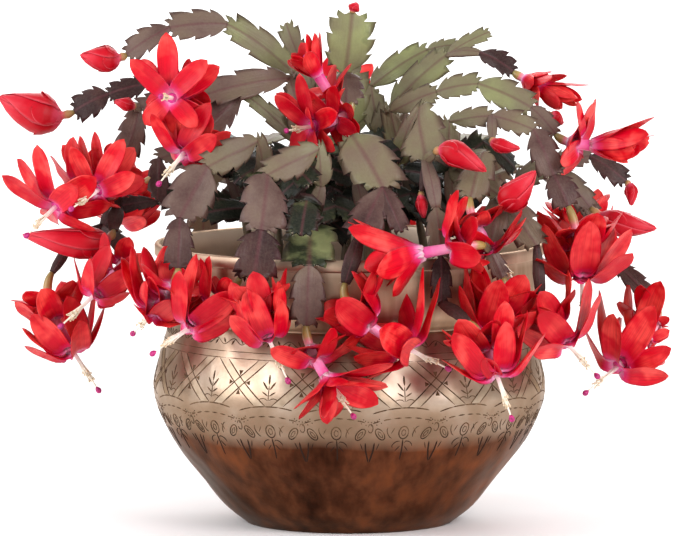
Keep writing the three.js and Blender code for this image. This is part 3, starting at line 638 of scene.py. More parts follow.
# The smooth core's half width along a segment, and the ways of its toothed edge at base and tip.
BLADE_CORE = (
    (0, 0.19), (0.04, 0.22), (0.1, 0.42), (0.2, 0.60), (0.35, 0.70), (0.6, 0.74), (0.8, 0.66),
    (0.92, 0.48), (0.97, 0.27), (1.01, 0.14),
)
EDGE_BASE = [(0.0, 0.22), (0.04, 0.26)]
EDGE_TIP = [(0.958, 0.62), (1.045, 0.58), (0.972, 0.36), (0.982, 0.21), (1.01, 0.17)]
TOOTH_SLANT = 0.18
CORE_EDGE = 0.88

# Inner shoots start from the low joints near the plant's heart, and are coloured with painted shade.
INNER_REACH = 0.10
INNER_TOP = 0.260
INNER_SHADE_TONE = -0.32
INNER_TURNS = (0.0, 2.2, 4.2)

COLUMNS = np.array([-1, -CORE_EDGE, -0.7, -0.45, -0.22, -0.1, 0, 0.1, 0.22, 0.45, 0.7, CORE_EDGE, 1])

# Where each stem roots, and its runs of segments. A run's joints go from the plant's heart outwards,
# and a later run starts on a joint of an earlier one. Each segment has a width and a tone, from fresh
# green at 0 to maroon at 1. Below 0 the tone is painted shade, a near black green for segments deep in
# the plant. face is the way that its flat side looks (or hinge the way across it), and tips are its
# flowers. A bloom has its mouth, the length of its petals and how far they curl back in degrees, and
# may have a skirt of shorter petals with a curl of its own, and a brush of stamens shortened to a
# share. A bud has its end and its girth radius.
STEMS = {
    "stem_left_arch": dict(root=(-0.025, 0.008), runs=[
        dict(
            joints=[(-0.024, 0.006, 0.218), (-0.027, 0.003, 0.251), (-0.031, 0.0, 0.283),
                    (-0.04, -0.005, 0.321), (-0.087, -0.02, 0.356), (-0.127, -0.03, 0.354),
                    (-0.157, -0.035, 0.336)],
            widths=[0.012, 0.026, 0.027, 0.025, 0.027, 0.022],
            tones=[0.55, 0.35, 0.3, 0.18, 0.5, 0.62], face=(0, -0.8, 0.6),
            tips=[dict(bud="bud_left_top", end=(-0.19, -0.04, 0.336), girth=0.0095)],
        ),
        dict(
            joints=[(-0.031, 0.0, 0.283), (-0.029, 0.018, 0.316), (-0.045, 0.028, 0.354)],
            widths=[0.024, 0.017], tones=[0.25, 0.2], face=(-0.3, -1, 0.2),
        ),
    ]),
    "stem_left_high": dict(root=(-0.045, -0.03), runs=[
        dict(
            joints=[(-0.041, -0.034, 0.222), (-0.034, -0.038, 0.247), (-0.033, -0.042, 0.272),
                    (-0.075, -0.048, 0.309), (-0.101, -0.066, 0.286)],
            widths=[0.012, 0.022, 0.015, 0.027], tones=[0.55, 0.3, 0.25, 0.68], face=(0, -0.8, 0.4),
            tips=[dict(bloom="bloom_left_upper", mouth=(-0.116, -0.08, 0.27), petal=0.024, curl=120)],
        ),
        dict(
            joints=[(-0.033, -0.042, 0.272), (-0.043, -0.036, 0.319), (-0.103, -0.06, 0.308)],
            widths=[0.024, 0.026], tones=[0.4, 0.5], face=(0, -0.8, 0.6),
            tips=[
                dict(bloom="bloom_left_top", mouth=(-0.124, -0.088, 0.309), petal=0.0235, curl=82,
                     brush=0.6),
            ],
        ),
    ]),
    "stem_left_dark": dict(root=(-0.07, 0.012), runs=[
        dict(
            joints=[(-0.075, 0.014, 0.218), (-0.087, 0.01, 0.25), (-0.101, 0.002, 0.281),
                    (-0.123, -0.006, 0.302), (-0.144, -0.012, 0.313), (-0.171, -0.015, 0.306),
                    (-0.195, -0.015, 0.294)],
            widths=[0.012, 0.022, 0.02, 0.018, 0.02, 0.025],
            tones=[0.55, 0.4, 0.6, 0.85, 0.98, 1], face=(0, -0.8, 0.6),
            tips=[dict(bud="bud_left_tip", end=(-0.249, -0.015, 0.305), girth=0.0145)],
        ),
        dict(
            joints=[(-0.149, -0.025, 0.297), (-0.152, -0.034, 0.299)],
            widths=[0.008], tones=[0.6], face=(0, -1, 0.2),
            tips=[dict(bud="bud_left_small", end=(-0.166, -0.038, 0.303), girth=0.0045)],
        ),
        dict(
            joints=[(-0.123, -0.006, 0.302), (-0.149, -0.025, 0.297), (-0.159, -0.036, 0.263)],
            widths=[0.02, 0.022], tones=[0.7, 0.72], face=(0.2, -1, 0.2),
            tips=[dict(bloom="bloom_left_inner", mouth=(-0.177, -0.06, 0.242), petal=0.0225, curl=112)],
        ),
        dict(
            joints=[(-0.087, 0.01, 0.25), (-0.111, 0.012, 0.265), (-0.135, 0.005, 0.259),
                    (-0.137, 0.0, 0.229), (-0.165, -0.012, 0.226), (-0.175, -0.01, 0.212)],
            widths=[0.012, 0.02, 0.02, 0.014, 0.012], tones=[0.5, 0.6, 0.88, 0.95, 0.85], face=(0, -1, 0.3),
        ),
        dict(
            joints=[(-0.165, -0.012, 0.226), (-0.167, -0.032, 0.211)],
            widths=[0.012], tones=[0.85], face=(0, -1, 0.3),
            tips=[dict(bud="bud_left_long", end=(-0.231, -0.044, 0.209), girth=0.0115)],
        ),
        dict(
            joints=[(-0.165, -0.012, 0.226), (-0.172, -0.022, 0.243)],
            widths=[0.012], tones=[0.85], face=(0, -1, 0.3),
            tips=[dict(bloom="bloom_left_outer", mouth=(-0.207, -0.056, 0.23), petal=0.027, curl=98)],
        ),
        dict(
            joints=[(-0.175, -0.01, 0.212), (-0.198, -0.014, 0.199), (-0.211, -0.022, 0.18)],
            widths=[0.009, 0.008], tones=[0.95, 0.95], face=(0, -1, 0.3),
            tips=[dict(bloom="bloom_left_hanging", mouth=(-0.196, -0.03, 0.124), petal=0.03, curl=128)],
        ),
        dict(
            joints=[(-0.175, -0.01, 0.212), (-0.159, -0.04, 0.199)],
            widths=[0.014], tones=[0.85], face=(0, -1, 0.3),
            tips=[dict(bloom="bloom_left_rim", mouth=(-0.18, -0.066, 0.168), petal=0.023, curl=130)],
        ),
    ]),
    "stem_left_front": dict(root=(-0.062, -0.048), runs=[
        dict(
            joints=[(-0.061, -0.056, 0.219), (-0.06, -0.066, 0.248), (-0.065, -0.082, 0.278),
                    (-0.099, -0.098, 0.261), (-0.118, -0.112, 0.227), (-0.119, -0.126, 0.193)],
            widths=[0.012, 0.022, 0.024, 0.036, 0.022],
            tones=[0.55, 0.35, 0.35, 0.62, 0.82], face=(0, -1, 0.3),
            tips=[dict(bloom="bloom_left_low", mouth=(-0.135, -0.112, 0.163), petal=0.027, curl=125)],
        ),
    ]),
    "stem_front_left": dict(root=(-0.032, -0.082), runs=[
        dict(
            joints=[(-0.027, -0.092, 0.222), (-0.02, -0.098, 0.248), (-0.022, -0.102, 0.274),
                    (-0.057, -0.118, 0.257), (-0.061, -0.142, 0.221), (-0.066, -0.152, 0.189)],
            widths=[0.012, 0.022, 0.025, 0.036, 0.033],
            tones=[0.55, 0.35, 0.38, 0.64, 0.95], face=(0, -1, 0.25),
            tips=[dict(bloom="bloom_front_left", mouth=(-0.056, -0.16, 0.148), petal=0.027, curl=145)],
        ),
        dict(
            joints=[(-0.061, -0.142, 0.221), (-0.076, -0.13, 0.187)],
            widths=[0.014], tones=[0.95], face=(0, -1, 0.25),
            tips=[dict(bloom="bloom_front_far_left", mouth=(-0.111, -0.138, 0.153), petal=0.028, curl=140)],
        ),
        dict(
            joints=[(-0.027, -0.092, 0.222), (-0.028, -0.147, 0.197), (-0.03, -0.152, 0.156)],
            # Its first segment's tone below 0 is painted shade.
            widths=[0.04, 0.026], tones=[-0.15, 0.66], face=(0, -1, 0.3),
            tips=[
                dict(bloom="bloom_front_low", mouth=(-0.015, -0.165, 0.12), petal=0.029, curl=36,
                     skirt=100),
            ],
        ),
    ]),
    "stem_top": dict(root=(-0.003, -0.008), runs=[
        dict(
            joints=[(0.0, -0.008, 0.22), (-0.002, -0.006, 0.25), (-0.003, -0.005, 0.28),
                    (-0.003, -0.003, 0.321), (0.002, -0.003, 0.363)],
            widths=[0.012, 0.028, 0.036, 0.036], tones=[0.5, 0.15, 0.06, 0.08], face=(0.1, -1, 0.2),
            tips=[dict(bud="bud_top", end=(0.006, -0.003, 0.3705), girth=0.004)],
        ),
        dict(
            joints=[(-0.003, -0.003, 0.321), (-0.002, -0.034, 0.301)],
            widths=[0.027], tones=[0.66], face=(0, -0.8, 0.6),
            tips=[
                dict(bloom="bloom_centre_upper", mouth=(-0.024, -0.046, 0.325), petal=0.019, curl=8,
                     brush=0.4, skirt=40),
                dict(bloom="bloom_centre_lower", mouth=(-0.027, -0.074, 0.288), petal=0.021, curl=58,
                     brush=0.7),
            ],
        ),
    ]),
    "stem_front_centre": dict(root=(0.015, -0.065), runs=[
        dict(
            joints=[(0.012, -0.07, 0.22), (0.005, -0.078, 0.251), (0.002, -0.084, 0.282)],
            widths=[0.012, 0.024], tones=[0.5, 0.35], face=(0, -1, 0.2),
        ),
        dict(
            joints=[(0.002, -0.084, 0.282), (0.023, -0.112, 0.248), (0.007, -0.136, 0.216),
                    (-0.003, -0.15, 0.185)],
            widths=[0.04, 0.03, 0.012], tones=[0.36, 0.76, 0.96], face=(0, -1, 0.3),
            tips=[
                dict(bloom="bloom_front_centre", mouth=(0.04, -0.15, 0.14), petal=0.034, curl=116,
                     skirt=150),
            ],
        ),
        dict(
            joints=[(0.023, -0.112, 0.248), (0.036, -0.136, 0.22)],
            widths=[0.016], tones=[0.88], face=(0, -1, 0.3),
        ),
        dict(
            joints=[(0.012, -0.07, 0.22), (0.033, -0.064, 0.26), (0.05, -0.074, 0.3),
                    (0.053, -0.098, 0.266), (0.05, -0.106, 0.245)],
            widths=[0.012, 0.022, 0.036, 0.005], tones=[0.4, 0.25, 0.33, 0.8], face=(0, -1, 0.4),
            tips=[dict(bud="bud_centre_small", end=(0.052, -0.112, 0.227), girth=0.004)],
        ),
        dict(
            joints=[(0.053, -0.098, 0.266), (0.06, -0.115, 0.234), (0.063, -0.134, 0.202),
                    (0.063, -0.138, 0.17)],
            widths=[0.012, 0.02, 0.017], tones=[0.55, 0.45, 0.97], face=(0.2, -1, 0.2),
        ),
        dict(
            joints=[(0.063, -0.138, 0.17), (0.082, -0.16, 0.159)],
            widths=[0.01], tones=[0.85], face=(0.2, -1, 0.2),
            tips=[dict(bloom="bloom_front_right_low", mouth=(0.101, -0.176, 0.125), petal=0.032, curl=122)],
        ),
        dict(
            joints=[(0.053, -0.098, 0.266), (0.059, -0.106, 0.272)],
            widths=[0.008], tones=[0.4], face=(0, -1, 0.2),
            tips=[dict(bud="bud_right_front", end=(0.095, -0.118, 0.26), girth=0.009)],
        ),
    ]),
    "stem_right_arch": dict(root=(0.03, 0.018), runs=[
        dict(
            joints=[(0.026, 0.017, 0.217), (0.022, 0.016, 0.246), (0.021, 0.015, 0.275),
                    (0.03, 0.012, 0.295), (0.07, 0.005, 0.333), (0.1, 0.005, 0.349)],
            widths=[0.012, 0.022, 0.022, 0.024, 0.014],
            tones=[0.5, 0.3, 0.2, 0.1, 0.18], face=(0, -0.8, 0.6),
        ),
        dict(
            joints=[(0.021, 0.015, 0.275), (0.016, 0.03, 0.309), (0.056, 0.024, 0.335),
                    (0.078, 0.018, 0.339)],
            widths=[0.022, 0.022, 0.014], tones=[0.2, 0.1, 0.15], face=(0, -0.8, 0.6),
        ),
        dict(
            joints=[(0.07, 0.005, 0.333), (0.093, -0.008, 0.335), (0.116, -0.016, 0.322)],
            widths=[0.01, 0.022], tones=[0.4, 0.97], face=(0, -0.6, 0.8),
            tips=[
                dict(bloom="bloom_right_top", mouth=(0.135, -0.022, 0.312), petal=0.019, curl=-10,
                     brush=0.4, skirt=8),
            ],
        ),
    ]),
    "stem_right_high": dict(root=(0.055, -0.012), runs=[
        dict(
            joints=[(0.049, -0.014, 0.22), (0.039, -0.018, 0.256), (0.03, -0.026, 0.295),
                    (0.062, -0.034, 0.309), (0.091, -0.04, 0.315), (0.128, -0.05, 0.299),
                    (0.145, -0.057, 0.281)],
            widths=[0.012, 0.022, 0.02, 0.022, 0.026, 0.016],
            tones=[0.5, 0.3, 0.2, 0.16, 0.18, 0.5], face=(0, -0.8, 0.6),
            tips=[
                dict(bloom="bloom_right_upper", mouth=(0.172, -0.066, 0.274), petal=0.027, curl=-14,
                     brush=0.5, skirt=80),
            ],
        ),
        dict(
            joints=[(0.128, -0.05, 0.299), (0.139, -0.042, 0.294)],
            widths=[0.008], tones=[0.55], face=(0, -1, 0.2),
            tips=[dict(bud="bud_right_small", end=(0.151, -0.036, 0.287), girth=0.0055)],
        ),
    ]),
    "stem_right_front": dict(root=(0.082, -0.046), runs=[
        dict(
            joints=[(0.074, -0.052, 0.224), (0.071, -0.054, 0.257), (0.071, -0.054, 0.29),
                    (0.1, -0.062, 0.294), (0.129, -0.068, 0.285), (0.143, -0.08, 0.254),
                    (0.153, -0.088, 0.233)],
            widths=[0.012, 0.022, 0.018, 0.02, 0.025, 0.024],
            tones=[0.5, 0.35, 0.32, 0.38, 0.66, 0.8], face=(0, -0.8, 0.5),
            tips=[dict(bloom="bloom_right_centre", mouth=(0.162, -0.098, 0.185), petal=0.0335, curl=120)],
        ),
        dict(
            joints=[(0.071, -0.054, 0.257), (0.094, -0.088, 0.27), (0.084, -0.112, 0.241)],
            widths=[0.014, 0.027], tones=[0.35, 0.42], face=(0, -1, 0.3),
            tips=[dict(bloom="bloom_right_inner", mouth=(0.098, -0.123, 0.207), petal=0.0255, curl=96)],
        ),
        dict(
            joints=[(0.071, -0.054, 0.257), (0.105, -0.098, 0.241), (0.13, -0.116, 0.208),
                    (0.133, -0.122, 0.171)],
            widths=[0.022, 0.026, 0.009], tones=[0.35, 0.42, 0.97], face=(0, -1, 0.3),
            tips=[
                dict(bloom="bloom_right_low_small", mouth=(0.15, -0.128, 0.142), petal=0.029, curl=115,
                     skirt=140),
            ],
        ),
        dict(
            joints=[(0.105, -0.098, 0.241), (0.097, -0.128, 0.207), (0.106, -0.13, 0.187)],
            widths=[0.02, 0.014], tones=[0.42, 0.7], face=(0, -1, 0.2),
            tips=[dict(bloom="bloom_front_right", mouth=(0.097, -0.137, 0.15), petal=0.0315, curl=130)],
        ),
        dict(
            joints=[(0.097, -0.128, 0.207), (0.093, -0.14, 0.21)],
            widths=[0.008], tones=[0.45], face=(0, -1, 0.2),
            tips=[
                dict(bloom="bloom_front_wide", mouth=(0.046, -0.148, 0.205), petal=0.031, curl=22,
                     skirt=120),
            ],
        ),
        dict(
            joints=[(0.105, -0.098, 0.241), (0.106, -0.112, 0.237)],
            widths=[0.008], tones=[0.45], face=(0, -1, 0.2),
            tips=[dict(bud="bud_right_round", end=(0.129, -0.124, 0.261), girth=0.0105)],
        ),
        dict(
            joints=[(0.1, -0.062, 0.294), (0.1, -0.08, 0.28)],
            widths=[0.008], tones=[0.45], face=(0, -1, 0.2),
            tips=[dict(bud="bud_right_inner", end=(0.119, -0.092, 0.274), girth=0.005)],
        ),
    ]),
    "stem_right_side": dict(root=(0.1, 0.025), runs=[
        dict(
            joints=[(0.102, 0.026, 0.217), (0.119, 0.022, 0.239), (0.145, 0.014, 0.254),
                    (0.172, 0.008, 0.26), (0.197, 0.0, 0.243)],
            widths=[0.012, 0.022, 0.02, 0.02], tones=[0.5, 0.4, 0.55, 0.95], face=(0, -0.8, 0.6),
            tips=[dict(bud="bud_right_tip", end=(0.201, -0.003, 0.226), girth=0.0045)],
        ),
        dict(
            joints=[(0.145, 0.014, 0.254), (0.172, 0.004, 0.224)],
            widths=[0.02], tones=[0.5], face=(0, -1, 0.4),
            tips=[dict(bud="bud_right_long", end=(0.219, -0.006, 0.21), girth=0.009)],
        ),
        dict(
            joints=[(0.145, 0.014, 0.254), (0.177, 0.024, 0.215), (0.191, 0.014, 0.183),
                    (0.216, 0.0, 0.158)],
            widths=[0.016, 0.016, 0.016], tones=[0.6, 0.75, 0.92], face=(0, -1, 0.4),
            tips=[
                dict(bloom="bloom_right_outer", mouth=(0.19, -0.036, 0.114), petal=0.031, curl=124,
                     skirt=130),
            ],
        ),
    ]),
    "stem_back_left": dict(root=(-0.05, 0.052), runs=[
        dict(
            joints=[(-0.054, 0.066, 0.222), (-0.062, 0.092, 0.262), (-0.082, 0.124, 0.262),
                    (-0.104, 0.146, 0.228), (-0.108, 0.154, 0.19)],
            widths=[0.012, 0.028, 0.03, 0.028], tones=[0.5, 0.3, 0.35, 0.5], hinge=(-1, -0.4, 0),
            tips=[dict(bloom="bloom_back_far_left", mouth=(-0.112, 0.164, 0.14), petal=0.028, curl=140)],
        ),
        dict(
            joints=[(-0.062, 0.092, 0.262), (-0.034, 0.128, 0.268), (-0.022, 0.156, 0.238),
                    (-0.026, 0.164, 0.2)],
            widths=[0.028, 0.028, 0.026], tones=[0.3, 0.4, 0.6], hinge=(-1, 0.4, 0),
            tips=[dict(bloom="bloom_back_left", mouth=(-0.034, 0.172, 0.15), petal=0.028, curl=140)],
        ),
        dict(
            joints=[(-0.054, 0.066, 0.222), (-0.1, 0.084, 0.25), (-0.14, 0.096, 0.238)],
            widths=[0.026, 0.028], tones=[0.35, 0.5], hinge=(-0.4, -1, 0),
            tips=[dict(bloom="bloom_side_left", mouth=(-0.168, 0.104, 0.206), petal=0.027, curl=125)],
        ),
    ]),
    "stem_back": dict(root=(0.012, 0.062), runs=[
        dict(
            joints=[(0.014, 0.076, 0.224), (0.022, 0.098, 0.268), (0.03, 0.128, 0.286),
                    (0.036, 0.154, 0.256), (0.038, 0.164, 0.214)],
            widths=[0.012, 0.028, 0.03, 0.028], tones=[0.5, 0.25, 0.3, 0.45], hinge=(-1, 0.2, 0),
            tips=[dict(bloom="bloom_back_centre", mouth=(0.036, 0.172, 0.166), petal=0.0238, curl=140)],
        ),
        dict(
            joints=[(0.014, 0.076, 0.224), (0.005, 0.064, 0.272), (0.0, 0.072, 0.32),
                    (-0.002, 0.106, 0.338), (-0.004, 0.138, 0.314)],
            widths=[0.012, 0.028, 0.028, 0.026], tones=[0.45, 0.2, 0.2, 0.5], hinge=(-1, -0.1, 0),
            tips=[dict(bloom="bloom_back_high", mouth=(-0.006, 0.16, 0.274), petal=0.027, curl=130)],
        ),
    ]),
    "stem_back_right": dict(root=(0.068, 0.044), runs=[
        dict(
            joints=[(0.074, 0.06, 0.222), (0.084, 0.086, 0.264), (0.098, 0.118, 0.266),
                    (0.112, 0.14, 0.232), (0.114, 0.148, 0.192)],
            widths=[0.012, 0.028, 0.03, 0.028], tones=[0.5, 0.3, 0.35, 0.55], hinge=(-1, 0.3, 0),
            tips=[dict(bloom="bloom_back_far_right", mouth=(0.118, 0.158, 0.144), petal=0.028, curl=140)],
        ),
        dict(
            joints=[(0.074, 0.06, 0.222), (0.122, 0.078, 0.248), (0.156, 0.094, 0.226)],
            widths=[0.026, 0.028], tones=[0.3, 0.5], hinge=(-0.4, 1, 0),
            tips=[dict(bloom="bloom_side_right", mouth=(0.172, 0.1, 0.18), petal=0.027, curl=130)],
        ),
    ]),
}


def joint_frames(run):
    """For each joint of a run: where it is, the way ahead, across the blade and out of its face."""
    at = np.array(run["joints"])
    ahead = np.empty_like(at)
    ahead[1:-1] = at[2:] - at[:-2]
    ahead[0], ahead[-1] = at[1] - at[0], at[-1] - at[-2]
    ahead = unit(ahead)
    if "hinge" in run:
        across = np.broadcast_to(np.array(run["hinge"], float), at.shape)
    else:
        across = np.cross(np.array(run["face"], float), ahead)
    across = unit(across - ahead * np.sum(across * ahead, axis=1, keepdims=True))
    return at, ahead, across, np.cross(ahead, across)


def toothed_edge(dice):
    """One edge of a segment from base to tip, as shares of its length and of its half width."""
    edge = list(EDGE_BASE)
    way, half = 0.08, 0.42
    for tip_way, tip_half, notch in TEETH:
        tip_way = tip_way + dice.uniform(-0.035, 0.035)
        tip_half = tip_half * dice.uniform(0.92, 1.03)
        for share, swell in TOOTH_CURVE:
            edge.append((way + (tip_way - way) * share, half + (tip_half - half) * share + swell))
        way, half = tip_way - 0.022, notch * dice.uniform(0.95, 1.05)
    return np.array(edge + [(way, half)] + EDGE_TIP)


def blade_grid(left, right):
    """The way and the spread of each point of a blade: its core is smooth, and its edges are toothed."""
    ways, spreads = [], []
    for edge in (left, right):
        core = np.interp(edge[:, 0], *zip(*BLADE_CORE))
        inner = np.maximum.accumulate(edge[:, 0] - TOOTH_SLANT * (edge[:, 1] - core))
        ways.append(inner + 0.0004 * np.arange(len(inner)))
        spreads.append(np.minimum(np.interp(inner, *zip(*BLADE_CORE)), edge[:, 1] * 0.94))
    rib = (ways[0] + ways[1])[:, None] / 2
    share = np.abs(COLUMNS) / CORE_EDGE
    behind = COLUMNS < 0
    inner = np.where(behind, ways[0][:, None], ways[1][:, None])
    core = np.where(behind, spreads[0][:, None], spreads[1][:, None])
    way = rib + (inner - rib) * share**2
    spread = np.sign(COLUMNS) * share * core
    way[:, 0], way[:, -1] = left[:, 0], right[:, 0]
    spread[:, 0], spread[:, -1] = -left[:, 1], right[:, 1]
    return way, spread


def thin_body(middle, facing, thick, marks):
    """A blade or petal as a closed body round its middle, and its marks."""
    top = middle + facing * thick[..., None]
    under = middle - facing * thick[..., None]
    return np.hstack([top, under[:, -2:0:-1]]), np.hstack([marks, marks[:, -2:0:-1]])


def segment(run, frames, number, dice):
    """The rings of one segment and their marks: across it, along it, and its tone."""
    at, _, across, out = (value[number : number + 2] for value in frames)
    width = run["widths"][number]
    stalk = width <= STALK_WIDTH
    if stalk:
        way = STALK_ROWS + 0 * COLUMNS
        spread = np.interp(way, *zip(*STALK_SHAPE)) * COLUMNS
    else:
        way, spread = blade_grid(toothed_edge(dice), toothed_edge(dice))
    reach = spread * width / 2
    length = np.linalg.norm(at[1] - at[0])
    thick = RIM_HALF + RIM_SWELL * np.sqrt(1 - COLUMNS**2)
    thick = thick + RIB_RISE * np.exp(-((spread / RIB_SPREAD) ** 2))
    if stalk:
        thick = RIB_HALF * 1.1 * np.sqrt(1 - 0.8 * COLUMNS**2) + 0 * way
    taper = np.interp(way, *zip(*THINNING))
    middle_swell = np.sin(np.pi * np.clip(way, 0, 1))
    cup = dice.uniform(-0.06, 0.12) * width * spread**2 * middle_swell
    wave = dice.uniform(0.02, 0.05) * width * np.abs(spread) ** 3
    wave = wave * np.sin(2 * np.pi * (way * dice.uniform(1.2, 2.4) + dice.uniform(0, 1)) + (COLUMNS > 0))
    lean = dice.uniform(-0.14, 0.14) * reach * middle_swell
    bow = SEGMENT_BOW * length * 4 * way * (1 - way)
    rise = bow + cup + wave + lean
    share = np.clip(way, 0, 1)[..., None]
    sideways = unit(across[0] + (across[1] - across[0]) * share)
    upward = unit(out[0] + (out[1] - out[0]) * share)
    middle = at[0] + (at[1] - at[0]) * way[..., None] + sideways * reach[..., None]
    marks = np.stack([spread, way, np.full(way.shape, run["tones"][number])], axis=-1)
    return thin_body(middle + upward * rise[..., None], upward, thick * taper, marks)


def ways_across(ahead):
    """Two directions across each of a path's directions, carried along it without a twist."""
    guide = np.array([1.0, 0, 0]) if abs(ahead[0, 0]) < 0.8 else np.array([0, 1.0, 0])
    guides = []
    for way in ahead:
        guide = unit(guide - way * (guide @ way))
        guides.append(guide)
    return np.array(guides), np.cross(ahead, guides)


def rings_round(path, guides, ups, radii, sides):
    angle = np.linspace(0, 2 * np.pi, sides, endpoint=False)[:, None]
    radii = np.broadcast_to(radii, len(path))[:, None, None]
    return path[:, None] + radii * (np.cos(angle) * guides[:, None] + np.sin(angle) * ups[:, None])


def tube(path, radii, sides):
    """Rings round a path, each with its radius."""
    return rings_round(path, *ways_across(unit(np.gradient(path, axis=0))), radii, sides)


def woody_foot(root, joint, dice):
    """The round old foot of a stem, from below the soil to its first joint."""
    x, y = root
    knots = [
        (x, y, SOIL_HEIGHT - HOLE_DEPTH),
        (x, y, SOIL_HEIGHT),
        (x, y, SOIL_HEIGHT + FOOT_RISE),
        tuple(joint),
    ]
    path = curve_through(knots, CURVE_STEPS)
    shares = np.linspace(0, 1, len(path))
    radii = FOOT_RADIUS * np.interp(shares, [0, 0.55, 1], [1.0, 0.92, 0.55])
    radii = radii * dice.uniform(0.93, 1.05, len(path))
    rings = tube(path, radii, FOOT_SIDES)
    rings += dice.normal(0, 0.00010, rings.shape)
    return rings, np.array([0.0, 0.5, 2.0])


def tuft(at, ahead, across, out, half, dice):
    """Short bristles from a joint and from the notches beside it."""
    hairs = []
    for _ in range(TUFT_HAIRS):
        side = dice.uniform(-1, 1)
        start = at + across * side * half - ahead * 0.0012 + out * dice.uniform(-0.0006, 0.0006)
        way = unit(ahead + across * side * 1.2 + out * dice.uniform(-0.9, 0.9))
        reach = dice.uniform(0.0015, 0.0042)
        path = np.array([start, start + way * reach * 0.6, start + way * reach])
        hairs.append((tube(path, BRISTLE_RADII, 3), 0.0, 1))
    return hairs


# Cactus skin: waxy and faintly glossy, olive green, purple-brown where the sun reached it, in tones
# that drift over 26 mm, with a redder midrib and rim. Its pores are drawn some 1 mm apart, where real
# ones are finer, and its shallow wrinkles are 1.4 mm wide and 18 mm long. Its marks say how far across
# and along the segment a spot is.
SEGMENT_HALF_MM = 12.6
SEGMENT_LENGTH_MM = 39.6
WRINKLE_SCALE = (SEGMENT_HALF_MM / 1.4, SEGMENT_LENGTH_MM / 18, 30.0)
cactus_skin = new_material("waxy_cactus_skin")
place = add_node(cactus_skin, "TexCoord")["Object"]
growth = add_node(cactus_skin, "Attribute", attribute_name="growth")["Vector"]
mark = add_node(cactus_skin, "SeparateXYZ", {"Vector": growth})
flush = add_node(cactus_skin, "TexNoise", {"Vector": place, "Scale": scale_for(26.3), "Detail": 4.0})
toned = add_node(
    cactus_skin, "Math", {0: flush["Fac"], 1: 0.85, 2: mark["Z"]}, operation="MULTIPLY_ADD"
)["Value"]
tone_share = add_node(
    cactus_skin, "MapRange", {"Value": toned, "From Min": -0.03, "From Max": 1.42}
)["Result"]
# Painted shade: tones below 0 land on the first two stops, near black greens for shoots deep in the plant.
skin = add_node(
    cactus_skin, "ValToRGB", {"Fac": tone_share},
    stops=[(0.05, "#10150a"), (0.17, "#232a17"), (0.27, "#878c5c"), (0.42, "#757152"),
           (0.58, "#6d5e4b"), (0.72, "#68534a"), (0.87, "#4a2f2c"), (1.0, "#2c1213")],
)["Color"]
offside = add_node(cactus_skin, "Math", {0: mark["X"]}, operation="ABSOLUTE")["Value"]
midrib = add_node(
    cactus_skin, "MapRange", {"Value": offside, "From Min": 0.13, "From Max": 0.02, "To Max": 0.5}
)["Result"]
ribbed = add_node(
    cactus_skin, "Mix", {FACTOR: midrib, COLOUR_A: skin, COLOUR_B: "#5a2c33"}, data_type="RGBA"
)[MIXED]
edge_share = add_node(
    cactus_skin, "MapRange", {"Value": offside, "From Min": 0.66, "From Max": 0.98, "To Max": 0.7}
)["Result"]
rimmed = add_node(
    cactus_skin, "Mix", {FACTOR: edge_share, COLOUR_A: ribbed, COLOUR_B: "#4a2328"}, data_type="RGBA"
)[MIXED]
woody = add_node(cactus_skin, "MapRange", {"Value": mark["Z"], "From Min": 1.4, "From Max": 1.6})["Result"]
barked = add_node(
    cactus_skin, "Mix", {FACTOR: woody, COLOUR_A: rimmed, COLOUR_B: "#6a5a44"}, data_type="RGBA"
)[MIXED]
pores = add_node(
    cactus_skin, "TexVoronoi", {"Vector": place, "Scale": scale_for(1.11)}, feature="F1"
)["Distance"]
pore_share = add_node(
    cactus_skin, "MapRange", {"Value": pores, "From Min": 0.20, "From Max": 0.05, "To Max": 0.08}
)["Result"]
speckled = add_node(
    cactus_skin, "Mix", {FACTOR: pore_share, COLOUR_A: barked, COLOUR_B: "#b9b190"}, data_type="RGBA"
)[MIXED]
grain = add_node(cactus_skin, "TexNoise", {"Vector": place, "Scale": scale_for(1.61), "Detail": 4.0})
drawn = add_node(cactus_skin, "Mapping", {"Vector": growth, "Scale": WRINKLE_SCALE})["Vector"]
wrinkle = add_node(cactus_skin, "TexNoise", {"Vector": drawn, "Scale": 1.0, "Detail": 3.0})
skin_relief = add_node(
    cactus_skin, "Math", {0: wrinkle["Fac"], 1: 1.6, 2: grain["Fac"]}, operation="MULTIPLY_ADD"
)["Value"]
skin_bump = add_node(
    cactus_skin, "Bump", {"Height": skin_relief, "Strength": 0.45, "Distance": 0.0005}
)["Normal"]
mottle = add_node(
    cactus_skin, "MapRange", {"Value": grain["Fac"], "From Min": 0.40, "From Max": 0.70, "To Max": 0.05}
)["Result"]
bloomy = add_node(
    cactus_skin, "Mix", {FACTOR: mottle, COLOUR_A: speckled, COLOUR_B: "#a39c84"}, data_type="RGBA"
)[MIXED]
skin_rough = add_node(
    cactus_skin, "MapRange",
    {"Value": flush["Fac"], "From Min": 0.3, "From Max": 0.7, "To Min": 0.40, "To Max": 0.56},
)["Result"]
set_shader(
    cactus_skin, Base_Color=bloomy, Roughness=skin_rough, IOR=1.40, Specular_IOR_Level=0.42,
    Normal=skin_bump,
)

# Bristles at the joints: dry, straw coloured, and a little shiny like hair, each 5 mm of them with a
# hue of its own.
bristle = new_material("dry_areole_bristle")
place = add_node(bristle, "TexCoord")["Object"]
hue = add_node(bristle, "TexNoise", {"Vector": place, "Scale": scale_for(5), "Detail": 1.0})
bristle_colour = add_node(
    bristle, "ValToRGB", {"Fac": hue["Fac"]}, stops=[(0.35, "#8c7350"), (0.65, "#e6dcc4")]
)["Color"]
set_shader(bristle, Base_Color=bristle_colour, Roughness=0.5)


